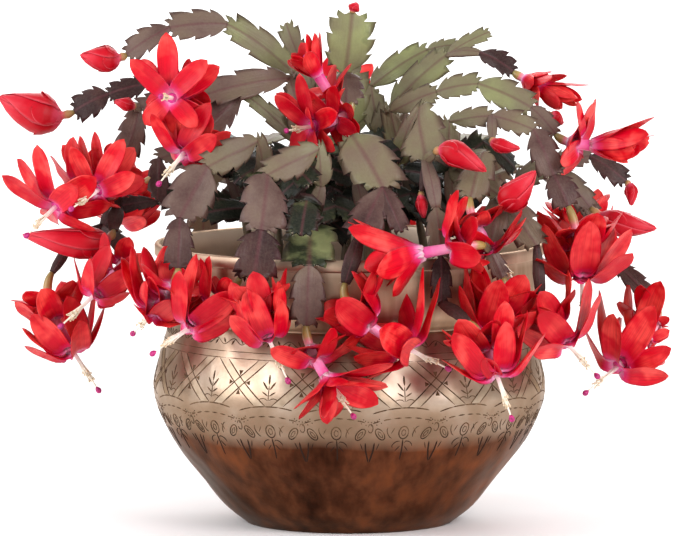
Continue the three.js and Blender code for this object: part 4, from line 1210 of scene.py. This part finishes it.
def inner_shoot(start, heading, dice):
    """A short shoot inside the plant, coloured with painted shade, as a run of two segments from one of a
    stem's low joints.
    """
    level = np.array([math.sin(heading), math.cos(heading), 0.0])
    level -= 0.7 * np.array([start[0], start[1], 0.0]) / INNER_REACH
    level = unit(level)
    rise = np.array([0.0, 0.0, 1.0])
    joints = [start]
    for slope in (dice.uniform(0.1, 0.8), dice.uniform(-0.8, 0.1)):
        joints.append(joints[-1] + unit(level + rise * slope) * dice.uniform(0.030, 0.037))
    face = level * 0.6 + rise * 0.5 + np.array([0.0, -0.8, 0.0])
    widths = dice.uniform(0.020, 0.026, 2)
    return dict(joints=joints, widths=widths.tolist(), tones=[INNER_SHADE_TONE, INNER_SHADE_TONE], face=face)


for order, (name, stem) in enumerate(STEMS.items()):
    dice = np.random.default_rng(100 + order)
    bodies = [(*woody_foot(stem["root"], stem["runs"][0]["joints"][0], dice), 0)]
    low_joints = [np.array(spot) for spot in stem["runs"][0]["joints"][:3]]
    low_joints = [spot for spot in low_joints if np.hypot(*spot[:2]) < INNER_REACH and spot[2] < INNER_TOP]
    headings = dice.uniform(0, 2 * np.pi, len(low_joints))
    shoots = [inner_shoot(spot, heading + part, dice)
              for part in INNER_TURNS for spot, heading in zip(low_joints, headings)]
    for run in stem["runs"] + shoots:
        frames = joint_frames(run)
        for number, width in enumerate(run["widths"]):
            bodies.append((*segment(run, frames, number, dice), 0))
            at, ahead, across, out = (value[number + 1] for value in frames)
            bodies += tuft(at, ahead, across, out, min(width * 0.22, 0.006), dice)
    piece = solid_piece(name + "_segments", bodies, [cactus_skin, bristle])
    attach(piece, "root")
    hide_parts(name)


# ---- The blooms -------------------------------------------------------------------------------
# Each hangs from a stem's end: a bare ovary, a curved tube, a skirt of shorter petals, then two tiers of
# long silky ones curled back over it, and out of the mouth a brush of stamens and a long pale style.
TUBE_RADIUS = 0.0046
STYLE_LENGTH = 0.033
STIGMA_SHARE = 0.16
PETAL_HALF = 0.00034
TWIN_SPACING = 0.007
CLEARANCE = 0.0003
PETAL_ROWS = np.linspace(0, 1, 16)
PETAL_COLUMNS = np.array([-1, -0.86, -0.62, -0.32, 0, 0.32, 0.62, 0.86, 1])
PETAL_SHAPE = (
    (0, 0.56), (0.12, 0.70), (0.27, 0.88), (0.42, 0.98), (0.56, 1.0), (0.7, 0.95), (0.82, 0.80),
    (0.91, 0.55), (0.96, 0.35), (1, 0.05),
)
CURL_SHARE = 0.38
PETAL_CHANNEL = (0.5, 0.30, 0.14, 0.0)

# The longest petals are this much longer than a bloom's petal value. Those that point up are longer
# still, and those that point down shorter; the upper ones also curl back less.
PETAL_GROWTH = 1.5
UPPER_PETALS = 0.25
UPPER_CURL = 0.22
STAMENS = 26
GOLDEN_TURN = 0.381966
THREAD_RADIUS = 0.00028
ANTHER_RADII = [0.0003, 0.0006, 0.00056, 0.00018]
STIGMA_RADII = [0.0007, 0.0015, 0.0021, 0.0020, 0.0013, 0.0003]
TUBE_SIDES = 16
TUBE_WAYS = np.linspace(0, 1, 20)
TUBE_SHAPE = ((0, 0.0020), (0.12, 0.0029), (0.26, 0.0033), (0.38, 0.0030), (0.5, 0.0032), (0.8, 0.0037),
              (1.0, TUBE_RADIUS * 0.92))

# The tiers: where on the flower they start, how many petals, and the petals' length and width as
# shares of the longest petal, lift in degrees, share of the curl, and turn in shares of their spacing.
TIERS = (
    dict(way=0.41, count=5, length=0.62, width=0.40, lift=35, curl=0.60, turn=0.5),
    dict(way=0.62, count=5, length=0.82, width=0.43, lift=32, curl=0.85, turn=0.0),
    dict(way=0.92, count=6, length=1.00, width=0.45, lift=25, curl=1.00, turn=0.5),
    dict(way=0.97, count=4, length=0.90, width=0.43, lift=16, curl=0.88, turn=0.5),
)


def flower_foot(run, order):
    """Where a tip's flower starts, just off the last joint, and the way ahead from there."""
    at, ahead, across, _ = (value[-1] for value in joint_frames(run))
    beside = (order - 0.5) * TWIN_SPACING if len(run["tips"]) > 1 else 0.0
    return at + ahead * CLEARANCE + across * beside, ahead


def bend(start, ahead, end, ways):
    """Points and directions on the curve that leaves start the way ahead and reaches end."""
    start, end = np.asarray(start), np.asarray(end)
    reach = np.linalg.norm(end - start)
    knee = start + ahead * reach * 0.35
    ways = np.asarray(ways)[:, None]
    inner = np.clip(ways, 0, 1)
    spots = (1 - inner) ** 2 * start + 2 * inner * (1 - inner) * knee + inner**2 * end
    tangent = unit(2 * (1 - inner) * (knee - start) + 2 * inner * (end - knee))
    return spots, tangent


def petal_body(root, across, axis, size, dice):
    """A petal that grows from a spot on the flower's tube, and curls outwards and back."""
    length = size["length"] * dice.uniform(0.94, 1.05)
    curl = math.radians(size["curl"] + dice.uniform(-9, 9))
    lift = math.radians(size["lift"] + dice.uniform(-4, 4))
    outward = unit(np.cross(across, axis))
    rows = PETAL_ROWS[:, None]
    columns = PETAL_COLUMNS[None, :]
    angle = lift + curl * (1 - (1 - np.clip(rows / CURL_SHARE, 0, 1)) ** 2)
    heading = axis * np.cos(angle) + outward * np.sin(angle)
    strides = (heading[1:] + heading[:-1]) / 2 * np.diff(rows, axis=0) * length
    centre = root + np.concatenate([np.zeros((1, 3)), np.cumsum(strides, axis=0)])
    inner = axis * np.sin(angle) - outward * np.cos(angle)
    half = np.interp(PETAL_ROWS, *zip(*PETAL_SHAPE))[:, None] * size["width"] / 2
    drift = dice.uniform(-0.10, 0.10) * length * rows**2
    twist = math.radians(dice.uniform(-18, 18)) * rows
    sideways = across * np.cos(twist) + inner * np.sin(twist)
    facing = inner * np.cos(twist) - across * np.sin(twist)
    channel = np.interp(PETAL_ROWS, [0, 0.3, 0.75, 1], PETAL_CHANNEL)[:, None]
    ruffle = dice.uniform(0.02, 0.07)
    ruffle = ruffle * np.sin(2 * np.pi * (rows * dice.uniform(1.0, 2.0) + dice.uniform(0, 1)))
    fold = half * (channel * columns**2 + ruffle * columns**3 - 0.05 * np.exp(-((columns / 0.12) ** 2)))
    thick = PETAL_HALF * (1 - 0.35 * rows) * (0.35 + 0.65 * np.sqrt(1 - columns**2))
    middle = (
        centre[:, None] + (across * drift)[:, None]
        + sideways[:, None] * (half * columns)[..., None] + facing[:, None] * fold[..., None]
    )
    marks = np.stack(np.broadcast_arrays(columns, rows, dice.uniform(0, 1)), axis=-1)
    return thin_body(middle, facing[:, None], thick, marks)


def fitted(rings, root):
    """A petal's rings, drawn in towards its root where the petal would leave the part's box."""
    reach = rings - root
    room = np.where(reach > 0, np.array(cad_box[1]) - root, np.array(cad_box[0]) - root)
    share = room / np.where(np.abs(reach) > 1e-6, reach, 1e-6 * np.sign(room))
    return root + reach * min(1.0, share.min())


def flower_frames(start, ahead, mouth, ways):
    """The spots along a flower, the way ahead there, and two directions across it."""
    spots, ahead_there = bend(start, ahead, mouth, ways)
    return spots, ahead_there, *ways_across(ahead_there)


def round_body(frames, radii, sides):
    """Rings of a round body round a flower's frames, with its way along as the mark."""
    spots, _, guides, ups = frames
    angle = np.linspace(0, 2 * np.pi, sides, endpoint=False)
    share = np.linspace(0, 1, len(spots))[:, None]
    marks = np.stack(np.broadcast_arrays(np.cos(angle), share, 0.5), axis=-1)
    return rings_round(spots, guides, ups, radii, sides), marks


# Petal silk: scarlet, thin enough for light to soak through, with a satin gloss, painted coral
# highlights in patches of 13 mm, and white and magenta down in the throat. Its fine veins run to the
# tip, 0.7 mm apart.
PETAL_HALF_MM = 7.7
VEIN_SCALE = (PETAL_HALF_MM / 0.7, 1.1, 40.0)
petal_silk = new_material("silky_scarlet_petal")
place = add_node(petal_silk, "TexCoord")["Object"]
growth = add_node(petal_silk, "Attribute", attribute_name="growth")["Vector"]
mark = add_node(petal_silk, "SeparateXYZ", {"Vector": growth})
stretched = add_node(petal_silk, "Mapping", {"Vector": growth, "Scale": VEIN_SCALE})["Vector"]
veins = add_node(petal_silk, "TexNoise", {"Vector": stretched, "Scale": 1.0, "Detail": 3.0})
highlight_noise = add_node(petal_silk, "TexNoise", {"Vector": place, "Scale": scale_for(13.33), "Detail": 2.0})
lengthwise = add_node(
    petal_silk, "Math", {0: veins["Fac"], 1: 0.16, 2: mark["Y"]}, operation="MULTIPLY_ADD"
)["Value"]
along = add_node(
    petal_silk, "ValToRGB", {"Fac": lengthwise},
    stops=[(0.10, "#fbdde8"), (0.17, "#f58cc0"), (0.24, "#e63878"), (0.35, "#cc0428"),
           (0.85, "#d6061e"), (1.0, "#c20416")],
)["Color"]
# Painted highlight: coral patches mixed into the petals outside the throat.
coral_highlight_patches = add_node(
    petal_silk, "MapRange", {"Value": highlight_noise["Fac"], "From Min": 0.44, "From Max": 0.66, "To Max": 0.8}
)["Result"]
inward = add_node(petal_silk, "MapRange", {"Value": mark["Y"], "From Min": 0.25, "From Max": 0.5})["Result"]
coral_highlight_share = add_node(petal_silk, "Math", {0: coral_highlight_patches, 1: inward}, operation="MULTIPLY")["Value"]
with_coral_highlights = add_node(
    petal_silk, "Mix", {FACTOR: coral_highlight_share, COLOUR_A: along, COLOUR_B: "#ff5850"}, data_type="RGBA"
)[MIXED]
deeper = add_node(petal_silk, "MapRange", {"Value": mark["Z"], "From Min": 0.4, "To Max": 0.6})["Result"]
varied = add_node(
    petal_silk, "Mix", {FACTOR: deeper, COLOUR_A: with_coral_highlights, COLOUR_B: "#b0001c"}, data_type="RGBA"
)[MIXED]
vein_share = add_node(
    petal_silk, "MapRange", {"Value": veins["Fac"], "From Min": 0.56, "From Max": 0.34, "To Max": 0.34}
)["Result"]
veined = add_node(
    petal_silk, "Mix", {FACTOR: vein_share, COLOUR_A: varied, COLOUR_B: "#98000a"}, data_type="RGBA"
)[MIXED]
petal_bump = add_node(
    petal_silk, "Bump", {"Height": veins["Fac"], "Strength": 0.35, "Distance": 0.0006}
)["Normal"]
set_shader(
    petal_silk, Base_Color=veined, Roughness=0.38, IOR=1.38, Specular_IOR_Level=0.3, Subsurface_Weight=0.10,
    Subsurface_Radius=(0.004, 0.0008, 0.0008), Subsurface_Scale=1.0, Normal=petal_bump,
)

# Flower tube: smooth and succulent, straw green at the ovary, then white flushed with pink, and
# magenta at the mouth, mottled in patches of about 4 mm.
tube_flesh = new_material("pink_flower_tube_flesh")
growth = add_node(tube_flesh, "Attribute", attribute_name="growth")["Vector"]
mark = add_node(tube_flesh, "SeparateXYZ", {"Vector": growth})
place = add_node(tube_flesh, "TexCoord")["Object"]
mottle = add_node(tube_flesh, "TexNoise", {"Vector": place, "Scale": scale_for(3.85), "Detail": 3.0})
shifted = add_node(
    tube_flesh, "Math", {0: mottle["Fac"], 1: 0.12, 2: mark["Y"]}, operation="MULTIPLY_ADD"
)["Value"]
tube_colour = add_node(
    tube_flesh, "ValToRGB", {"Fac": shifted},
    stops=[(0.10, "#8c7a44"), (0.32, "#ab8c52"), (0.42, "#e07c8c"), (0.6, "#f6c2d4"),
           (0.85, "#ee86b8"), (1.0, "#dc3a8c")],
)["Color"]
tube_bump = add_node(
    tube_flesh, "Bump", {"Height": mottle["Fac"], "Strength": 0.2, "Distance": 0.0004}
)["Normal"]
set_shader(
    tube_flesh, Base_Color=tube_colour, Roughness=0.35, Subsurface_Weight=0.2,
    Subsurface_Radius=(0.003, 0.0012, 0.001), Subsurface_Scale=1.0, Normal=tube_bump,
)

# Stamens and style: wet white threads with cream pollen, and a magenta stigma at the style's end. Its
# grain is drawn 1.4 mm wide, because the real one is too fine to show.
thread = new_material("white_stamen_thread")
growth = add_node(thread, "Attribute", attribute_name="growth")["Vector"]
mark = add_node(thread, "SeparateXYZ", {"Vector": growth})
thread_colour = add_node(
    thread, "ValToRGB", {"Fac": mark["Y"]},
    stops=[(0.0, "#f6c9d6"), (0.3, "#fbf1e6"), (0.80, "#f6ead2"), (0.90, "#c8a878"), (1.0, "#a03a70")],
)["Color"]
set_shader(thread, Base_Color=thread_colour, Roughness=0.4)

stigma_flesh = new_material("magenta_stigma_flesh")
place = add_node(stigma_flesh, "TexCoord")["Object"]
speck = add_node(stigma_flesh, "TexNoise", {"Vector": place, "Scale": scale_for(1.43), "Detail": 2.0})
stigma_colour = add_node(
    stigma_flesh, "ValToRGB", {"Fac": speck["Fac"]}, stops=[(0.35, "#8a1050"), (0.65, "#cc2880")]
)["Color"]
set_shader(stigma_flesh, Base_Color=stigma_colour, Roughness=0.5)


def stamens_of(mouth, axis, guide, up, share_out, dice):
    """The brush of stamens, and the style with its stigma, out of the mouth."""
    long = STYLE_LENGTH * share_out
    bodies = []
    for number in range(STAMENS):
        angle = 2 * np.pi * number * GOLDEN_TURN
        side = guide * math.cos(angle) + up * math.sin(angle)
        reach = long * dice.uniform(0.48, 0.72)
        start = mouth + side * 0.0014 - axis * 0.002
        close = mouth + side * dice.uniform(0.0004, 0.0014) + axis * reach * 0.5
        end = mouth + side * dice.uniform(0.0006, 0.0028) + axis * reach
        path = curve_through([start, close, end], 3)
        share = np.linspace(0, 0.75, len(path))[:, None]
        marks = np.stack([0 * share, share, 0 * share], axis=-1)
        bodies.append((tube(path, THREAD_RADIUS, 5), marks, 2))
        way = unit(axis + side * 0.3)
        anther = np.array([end - way * 0.0002, end + way * 0.0002, end + way * 0.0008, end + way * 0.0012])
        bodies.append((tube(anther, ANTHER_RADII, 6), np.array([0, 0.86, 0]), 2))
    ways = np.array([[-0.06], [0.5], [0.93]])
    path = curve_through(list(mouth + axis * long * ways), 4)
    share = np.linspace(0.1, 0.7, len(path))[:, None]
    marks = np.stack([0 * share, share, 0 * share], axis=-1)
    bodies.append((tube(path, np.linspace(0.0008, 0.0006, len(path)), 8), marks, 2))
    base = mouth + axis * long * 0.9
    shares = np.array([0, 0.2, 0.45, 0.7, 0.9, 1.0])
    club = base + axis * (shares * long * STIGMA_SHARE)[:, None]
    bodies.append((tube(club, STIGMA_RADII, 10), 0.0, 3))
    return bodies


def bloom_piece(tip, start, ahead, dice):
    """A whole bloom as one object."""
    mouth = np.array(tip["mouth"])
    frames = flower_frames(start, ahead, mouth, TUBE_WAYS)
    radii = np.interp(TUBE_WAYS, *zip(*TUBE_SHAPE))
    bodies = [(*round_body(frames, radii, TUBE_SIDES), 1)]
    for tier in TIERS:
        tier_frames = flower_frames(start, ahead, mouth, [0, tier["way"], min(tier["way"] + 0.1, 1)])
        spot, guide, up = tier_frames[0][1], tier_frames[2][1], tier_frames[3][1]
        axis = tier_frames[1][2]
        radius = np.interp(tier["way"], *zip(*TUBE_SHAPE)) * 0.72
        tier_curl = tip["curl"] if tier["way"] > 0.8 else tip.get("skirt", tip["curl"])
        size = dict(
            length=tip["petal"] * PETAL_GROWTH * tier["length"],
            width=tip["petal"] * PETAL_GROWTH * tier["width"],
            lift=tier["lift"],
        )
        for number in range(tier["count"]):
            angle = 2 * np.pi * (number + tier["turn"]) / tier["count"] + dice.uniform(-0.12, 0.12)
            side = guide * math.cos(angle) + up * math.sin(angle)
            side = unit(side - axis * (side @ axis))
            across = np.cross(axis, side)
            size["curl"] = tier_curl * tier["curl"] * (1 - UPPER_CURL * side[2])
            longer = dict(size, length=size["length"] * (1 + UPPER_PETALS * side[2]))
            rings, marks = petal_body(spot + side * radius, across, axis, longer, dice)
            bodies.append((fitted(rings, spot), marks, 0))
    end, axis, guide, up = (value[-1] for value in frames)
    bodies += stamens_of(end, axis, guide, up, tip.get("brush", 1.0), dice)
    return solid_piece(tip["bloom"] + "_flower", bodies, [petal_silk, tube_flesh, thread, stigma_flesh])


def flowers(kind):
    """Each bloom or bud: its number among all flowers, its facts, where it starts and the way ahead."""
    number = 0
    for stem in STEMS.values():
        for run in stem["runs"]:
            for order, tip in enumerate(run.get("tips", [])):
                number += 1
                if kind in tip:
                    yield number, tip, *flower_foot(run, order)


for number, tip, start, ahead in flowers("bloom"):
    piece = bloom_piece(tip, start, ahead, np.random.default_rng(500 + number))
    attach(piece, "root")
    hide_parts(tip["bloom"])


# ---- The buds ---------------------------------------------------------------------------------
# Unopened flowers: the same ovary, then petals still wrapped round each other to a point, so that
# their edges show as ridges which wind along the bud.
OVARY_RADIUS = 0.0032
BUD_WAYS = np.linspace(0, 1, 26)
BUD_SIDES = 24
BUD_TWIST = 0.9
BUD_LAP = 0.16
INNER_SCALES = 5
OUTER_SCALES = 4

# Bud silk: the petals' outsides, paler at their edges than their faces, with a soft shine and streaks
# some 7 mm wide.
bud_silk = new_material("silky_pink_bud")
growth = add_node(bud_silk, "Attribute", attribute_name="growth")["Vector"]
mark = add_node(bud_silk, "SeparateXYZ", {"Vector": growth})
place = add_node(bud_silk, "TexCoord")["Object"]
streak = add_node(bud_silk, "TexNoise", {"Vector": place, "Scale": scale_for(7.14), "Detail": 3.0})
shifted = add_node(
    bud_silk, "Math", {0: streak["Fac"], 1: 0.2, 2: mark["Y"]}, operation="MULTIPLY_ADD"
)["Value"]
bud_colour = add_node(
    bud_silk, "ValToRGB", {"Fac": shifted},
    stops=[(0.12, "#857040"), (0.26, "#b3835a"), (0.35, "#d64a62"), (0.50, "#b00416"),
           (0.82, "#bc0a20"), (1.0, "#cc303e")],
)["Color"]
offside = add_node(bud_silk, "Math", {0: mark["X"]}, operation="ABSOLUTE")["Value"]
edge_share = add_node(
    bud_silk, "MapRange", {"Value": offside, "From Min": 0.80, "From Max": 1.0, "To Max": 0.55}
)["Result"]
bud_edged = add_node(
    bud_silk, "Mix", {FACTOR: edge_share, COLOUR_A: bud_colour, COLOUR_B: "#e8606c"}, data_type="RGBA"
)[MIXED]
bud_bump = add_node(
    bud_silk, "Bump", {"Height": streak["Fac"], "Strength": 0.2, "Distance": 0.0005}
)["Normal"]
set_shader(
    bud_silk, Base_Color=bud_edged, Roughness=0.42, IOR=1.38, Specular_IOR_Level=0.3,
    Subsurface_Weight=0.08, Subsurface_Radius=(0.004, 0.001, 0.001), Subsurface_Scale=1.0, Normal=bud_bump,
)


def bud_scale(tip, start, ahead, knots, span, middle, spread):
    """A petal that lies wrapped on a bud, as a thin closed body on the bud's own round surface."""
    ways = span[0] + (span[1] - span[0]) * PETAL_ROWS
    spots, _, guides, ups = flower_frames(start, ahead, np.array(tip["end"]), ways)
    half = np.interp(PETAL_ROWS, *zip(*PETAL_SHAPE))[:, None] * spread
    turn = middle + BUD_TWIST * ways[:, None] + half * PETAL_COLUMNS
    outward = np.cos(turn)[..., None] * guides[:, None] + np.sin(turn)[..., None] * ups[:, None]
    over = 1 + BUD_LAP * (1 - PETAL_COLUMNS) / 2 + 0.10 * PETAL_ROWS[:, None] ** 4
    radius = np.interp(ways, *zip(*knots))[:, None] * over + 0.0002
    thick = PETAL_HALF * np.sqrt(1.04 - PETAL_COLUMNS**2) + 0 * radius
    marks = np.stack(np.broadcast_arrays(PETAL_COLUMNS, ways[:, None], 0.5), axis=-1)
    return thin_body(spots[:, None] + outward * radius[..., None], outward, thick, marks)


def bud_piece(tip, start, ahead, dice):
    """A bud: a core as one closed body, and two layers of petals that wrap it."""
    girth = tip["girth"]
    frames = flower_frames(start, ahead, np.array(tip["end"]), BUD_WAYS)
    knots = [
        (0, 0.0016), (0.12, min(OVARY_RADIUS, girth * 0.6)), (0.22, min(0.0026, girth * 0.5)),
        (0.34, girth * 0.66), (0.48, girth * 0.88), (0.6, girth * 0.87), (0.76, girth * 0.66),
        (0.9, girth * 0.36), (1, 0.0006),
    ]
    radii = np.interp(BUD_WAYS, *zip(*knots))
    rings, marks = round_body(frames, radii, BUD_SIDES)
    bodies = [(rings, marks * np.array([0, 1, 1]), 0)]
    turn = dice.uniform(0, 2 * np.pi)
    for number in range(INNER_SCALES):
        middle = turn + 2 * np.pi * number / INNER_SCALES + dice.uniform(-0.12, 0.12)
        bodies.append((*bud_scale(tip, start, ahead, knots, (0.26, 0.985), middle, 0.92), 0))
    for number in range(OUTER_SCALES):
        middle = turn + 2 * np.pi * (number + 0.4) / OUTER_SCALES + dice.uniform(-0.2, 0.2)
        reach = 0.60 + dice.uniform(-0.06, 0.10)
        bodies.append((*bud_scale(tip, start, ahead, knots, (0.235, reach), middle, 0.62), 0))
    return solid_piece(tip["bud"] + "_flower", bodies, [bud_silk])


dice = np.random.default_rng(77)
for _, tip, start, ahead in flowers("bud"):
    piece = bud_piece(tip, start, ahead, dice)
    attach(piece, "root")
    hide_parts(tip["bud"])


# ---- The studio -------------------------------------------------------------------------------
# A wide pale floor under a pale sky, with two soft boxes before the plant that the bowl's shoulder
# mirrors, a weaker one behind, and a wash of light on the floor far behind.
FLOOR_REACH = 60.0

# Matt paper: its tooth is far too fine to show, so only slow changes of a third of a metre are drawn.
paper = new_material("matt_white_paper_floor")
place = add_node(paper, "TexCoord")["Object"]
tooth = add_node(paper, "TexNoise", {"Vector": place, "Scale": scale_for(333), "Detail": 2.0})
paper_colour = add_node(
    paper, "ValToRGB", {"Fac": tooth["Fac"]}, stops=[(0.3, "#f8f7f6"), (0.7, "#fcfbfa")]
)["Color"]
set_shader(paper, Base_Color=paper_colour, Roughness=0.9)

corners = [(-1, -1), (1, -1), (1, 1), (-1, 1)]
floor_mesh = bpy.data.meshes.new("floor")
floor_mesh.from_pydata([(x * FLOOR_REACH, y * FLOOR_REACH, 0.0) for x, y in corners], [], [(0, 1, 2, 3)])
floor_mesh.materials.append(paper)
floor = bpy.data.objects.new("floor", floor_mesh)
bpy.context.collection.objects.link(floor)

sky = bpy.data.worlds.new("pale_sky")
bpy.context.scene.world = sky
sky.use_nodes = True
sky.node_tree.nodes["Background"].inputs["Color"].default_value = (1.0, 0.99, 0.98, 1.0)
sky.node_tree.nodes["Background"].inputs["Strength"].default_value = 0.60
bpy.context.scene.view_settings.view_transform = "Standard"

PLANT_MIDDLE = (0.0, 0.0, 0.18)

# Each soft box: its place, side, watts and colour, and where it points.
SOFT_BOXES = (
    ("left_soft_box", (-2.1, -0.95, 1.15), 1.75, 47.0, (0.96, 0.97, 1.0), PLANT_MIDDLE),
    ("right_soft_box", (1.6, -1.75, 1.3), 1.4, 50.0, (0.99, 0.97, 1.0), PLANT_MIDDLE),
    ("back_soft_box", (0.6, 2.2, 1.9), 1.5, 18.0, (1.0, 1.0, 1.0), PLANT_MIDDLE),
    ("floor_wash", (0.0, 6.0, 3.0), 7.0, 330.0, (1.0, 1.0, 1.0), (0.0, 6.0, 0.0)),
)
for name, spot, side, power, colour, target in SOFT_BOXES:
    light = bpy.data.lights.new(name, "AREA")
    light.shape = "SQUARE"
    light.size = side
    light.energy = power
    light.color = colour
    lamp = bpy.data.objects.new(name, light)
    lamp.location = spot
    aim = np.array(target) - np.array(spot)
    lamp.rotation_euler = (
        math.atan2(math.hypot(aim[0], aim[1]), -aim[2]), 0.0, math.atan2(-aim[0], aim[1])
    )
    bpy.context.collection.objects.link(lamp)

# The camera stands 4.6 m off and looks down a little, as the photograph was taken.
IMAGE_WIDTH = 679
CAMERA_DISTANCE = 4.6
METRES_A_PIXEL = 0.000714
SENSOR = 36.0
DOWNWARD = 5.6
lens = bpy.data.cameras.new("camera")
lens.sensor_width = SENSOR
lens.lens = SENSOR * (CAMERA_DISTANCE / METRES_A_PIXEL) / IMAGE_WIDTH
lens.clip_end = 200.0
camera = bpy.data.objects.new("camera", lens)
camera.location = (-0.007, -4.578, 0.6299)
camera.rotation_euler = (math.radians(90 - DOWNWARD), 0.0, 0.0)
bpy.context.collection.objects.link(camera)
bpy.context.scene.camera = camera

bpy.context.view_layer.update()
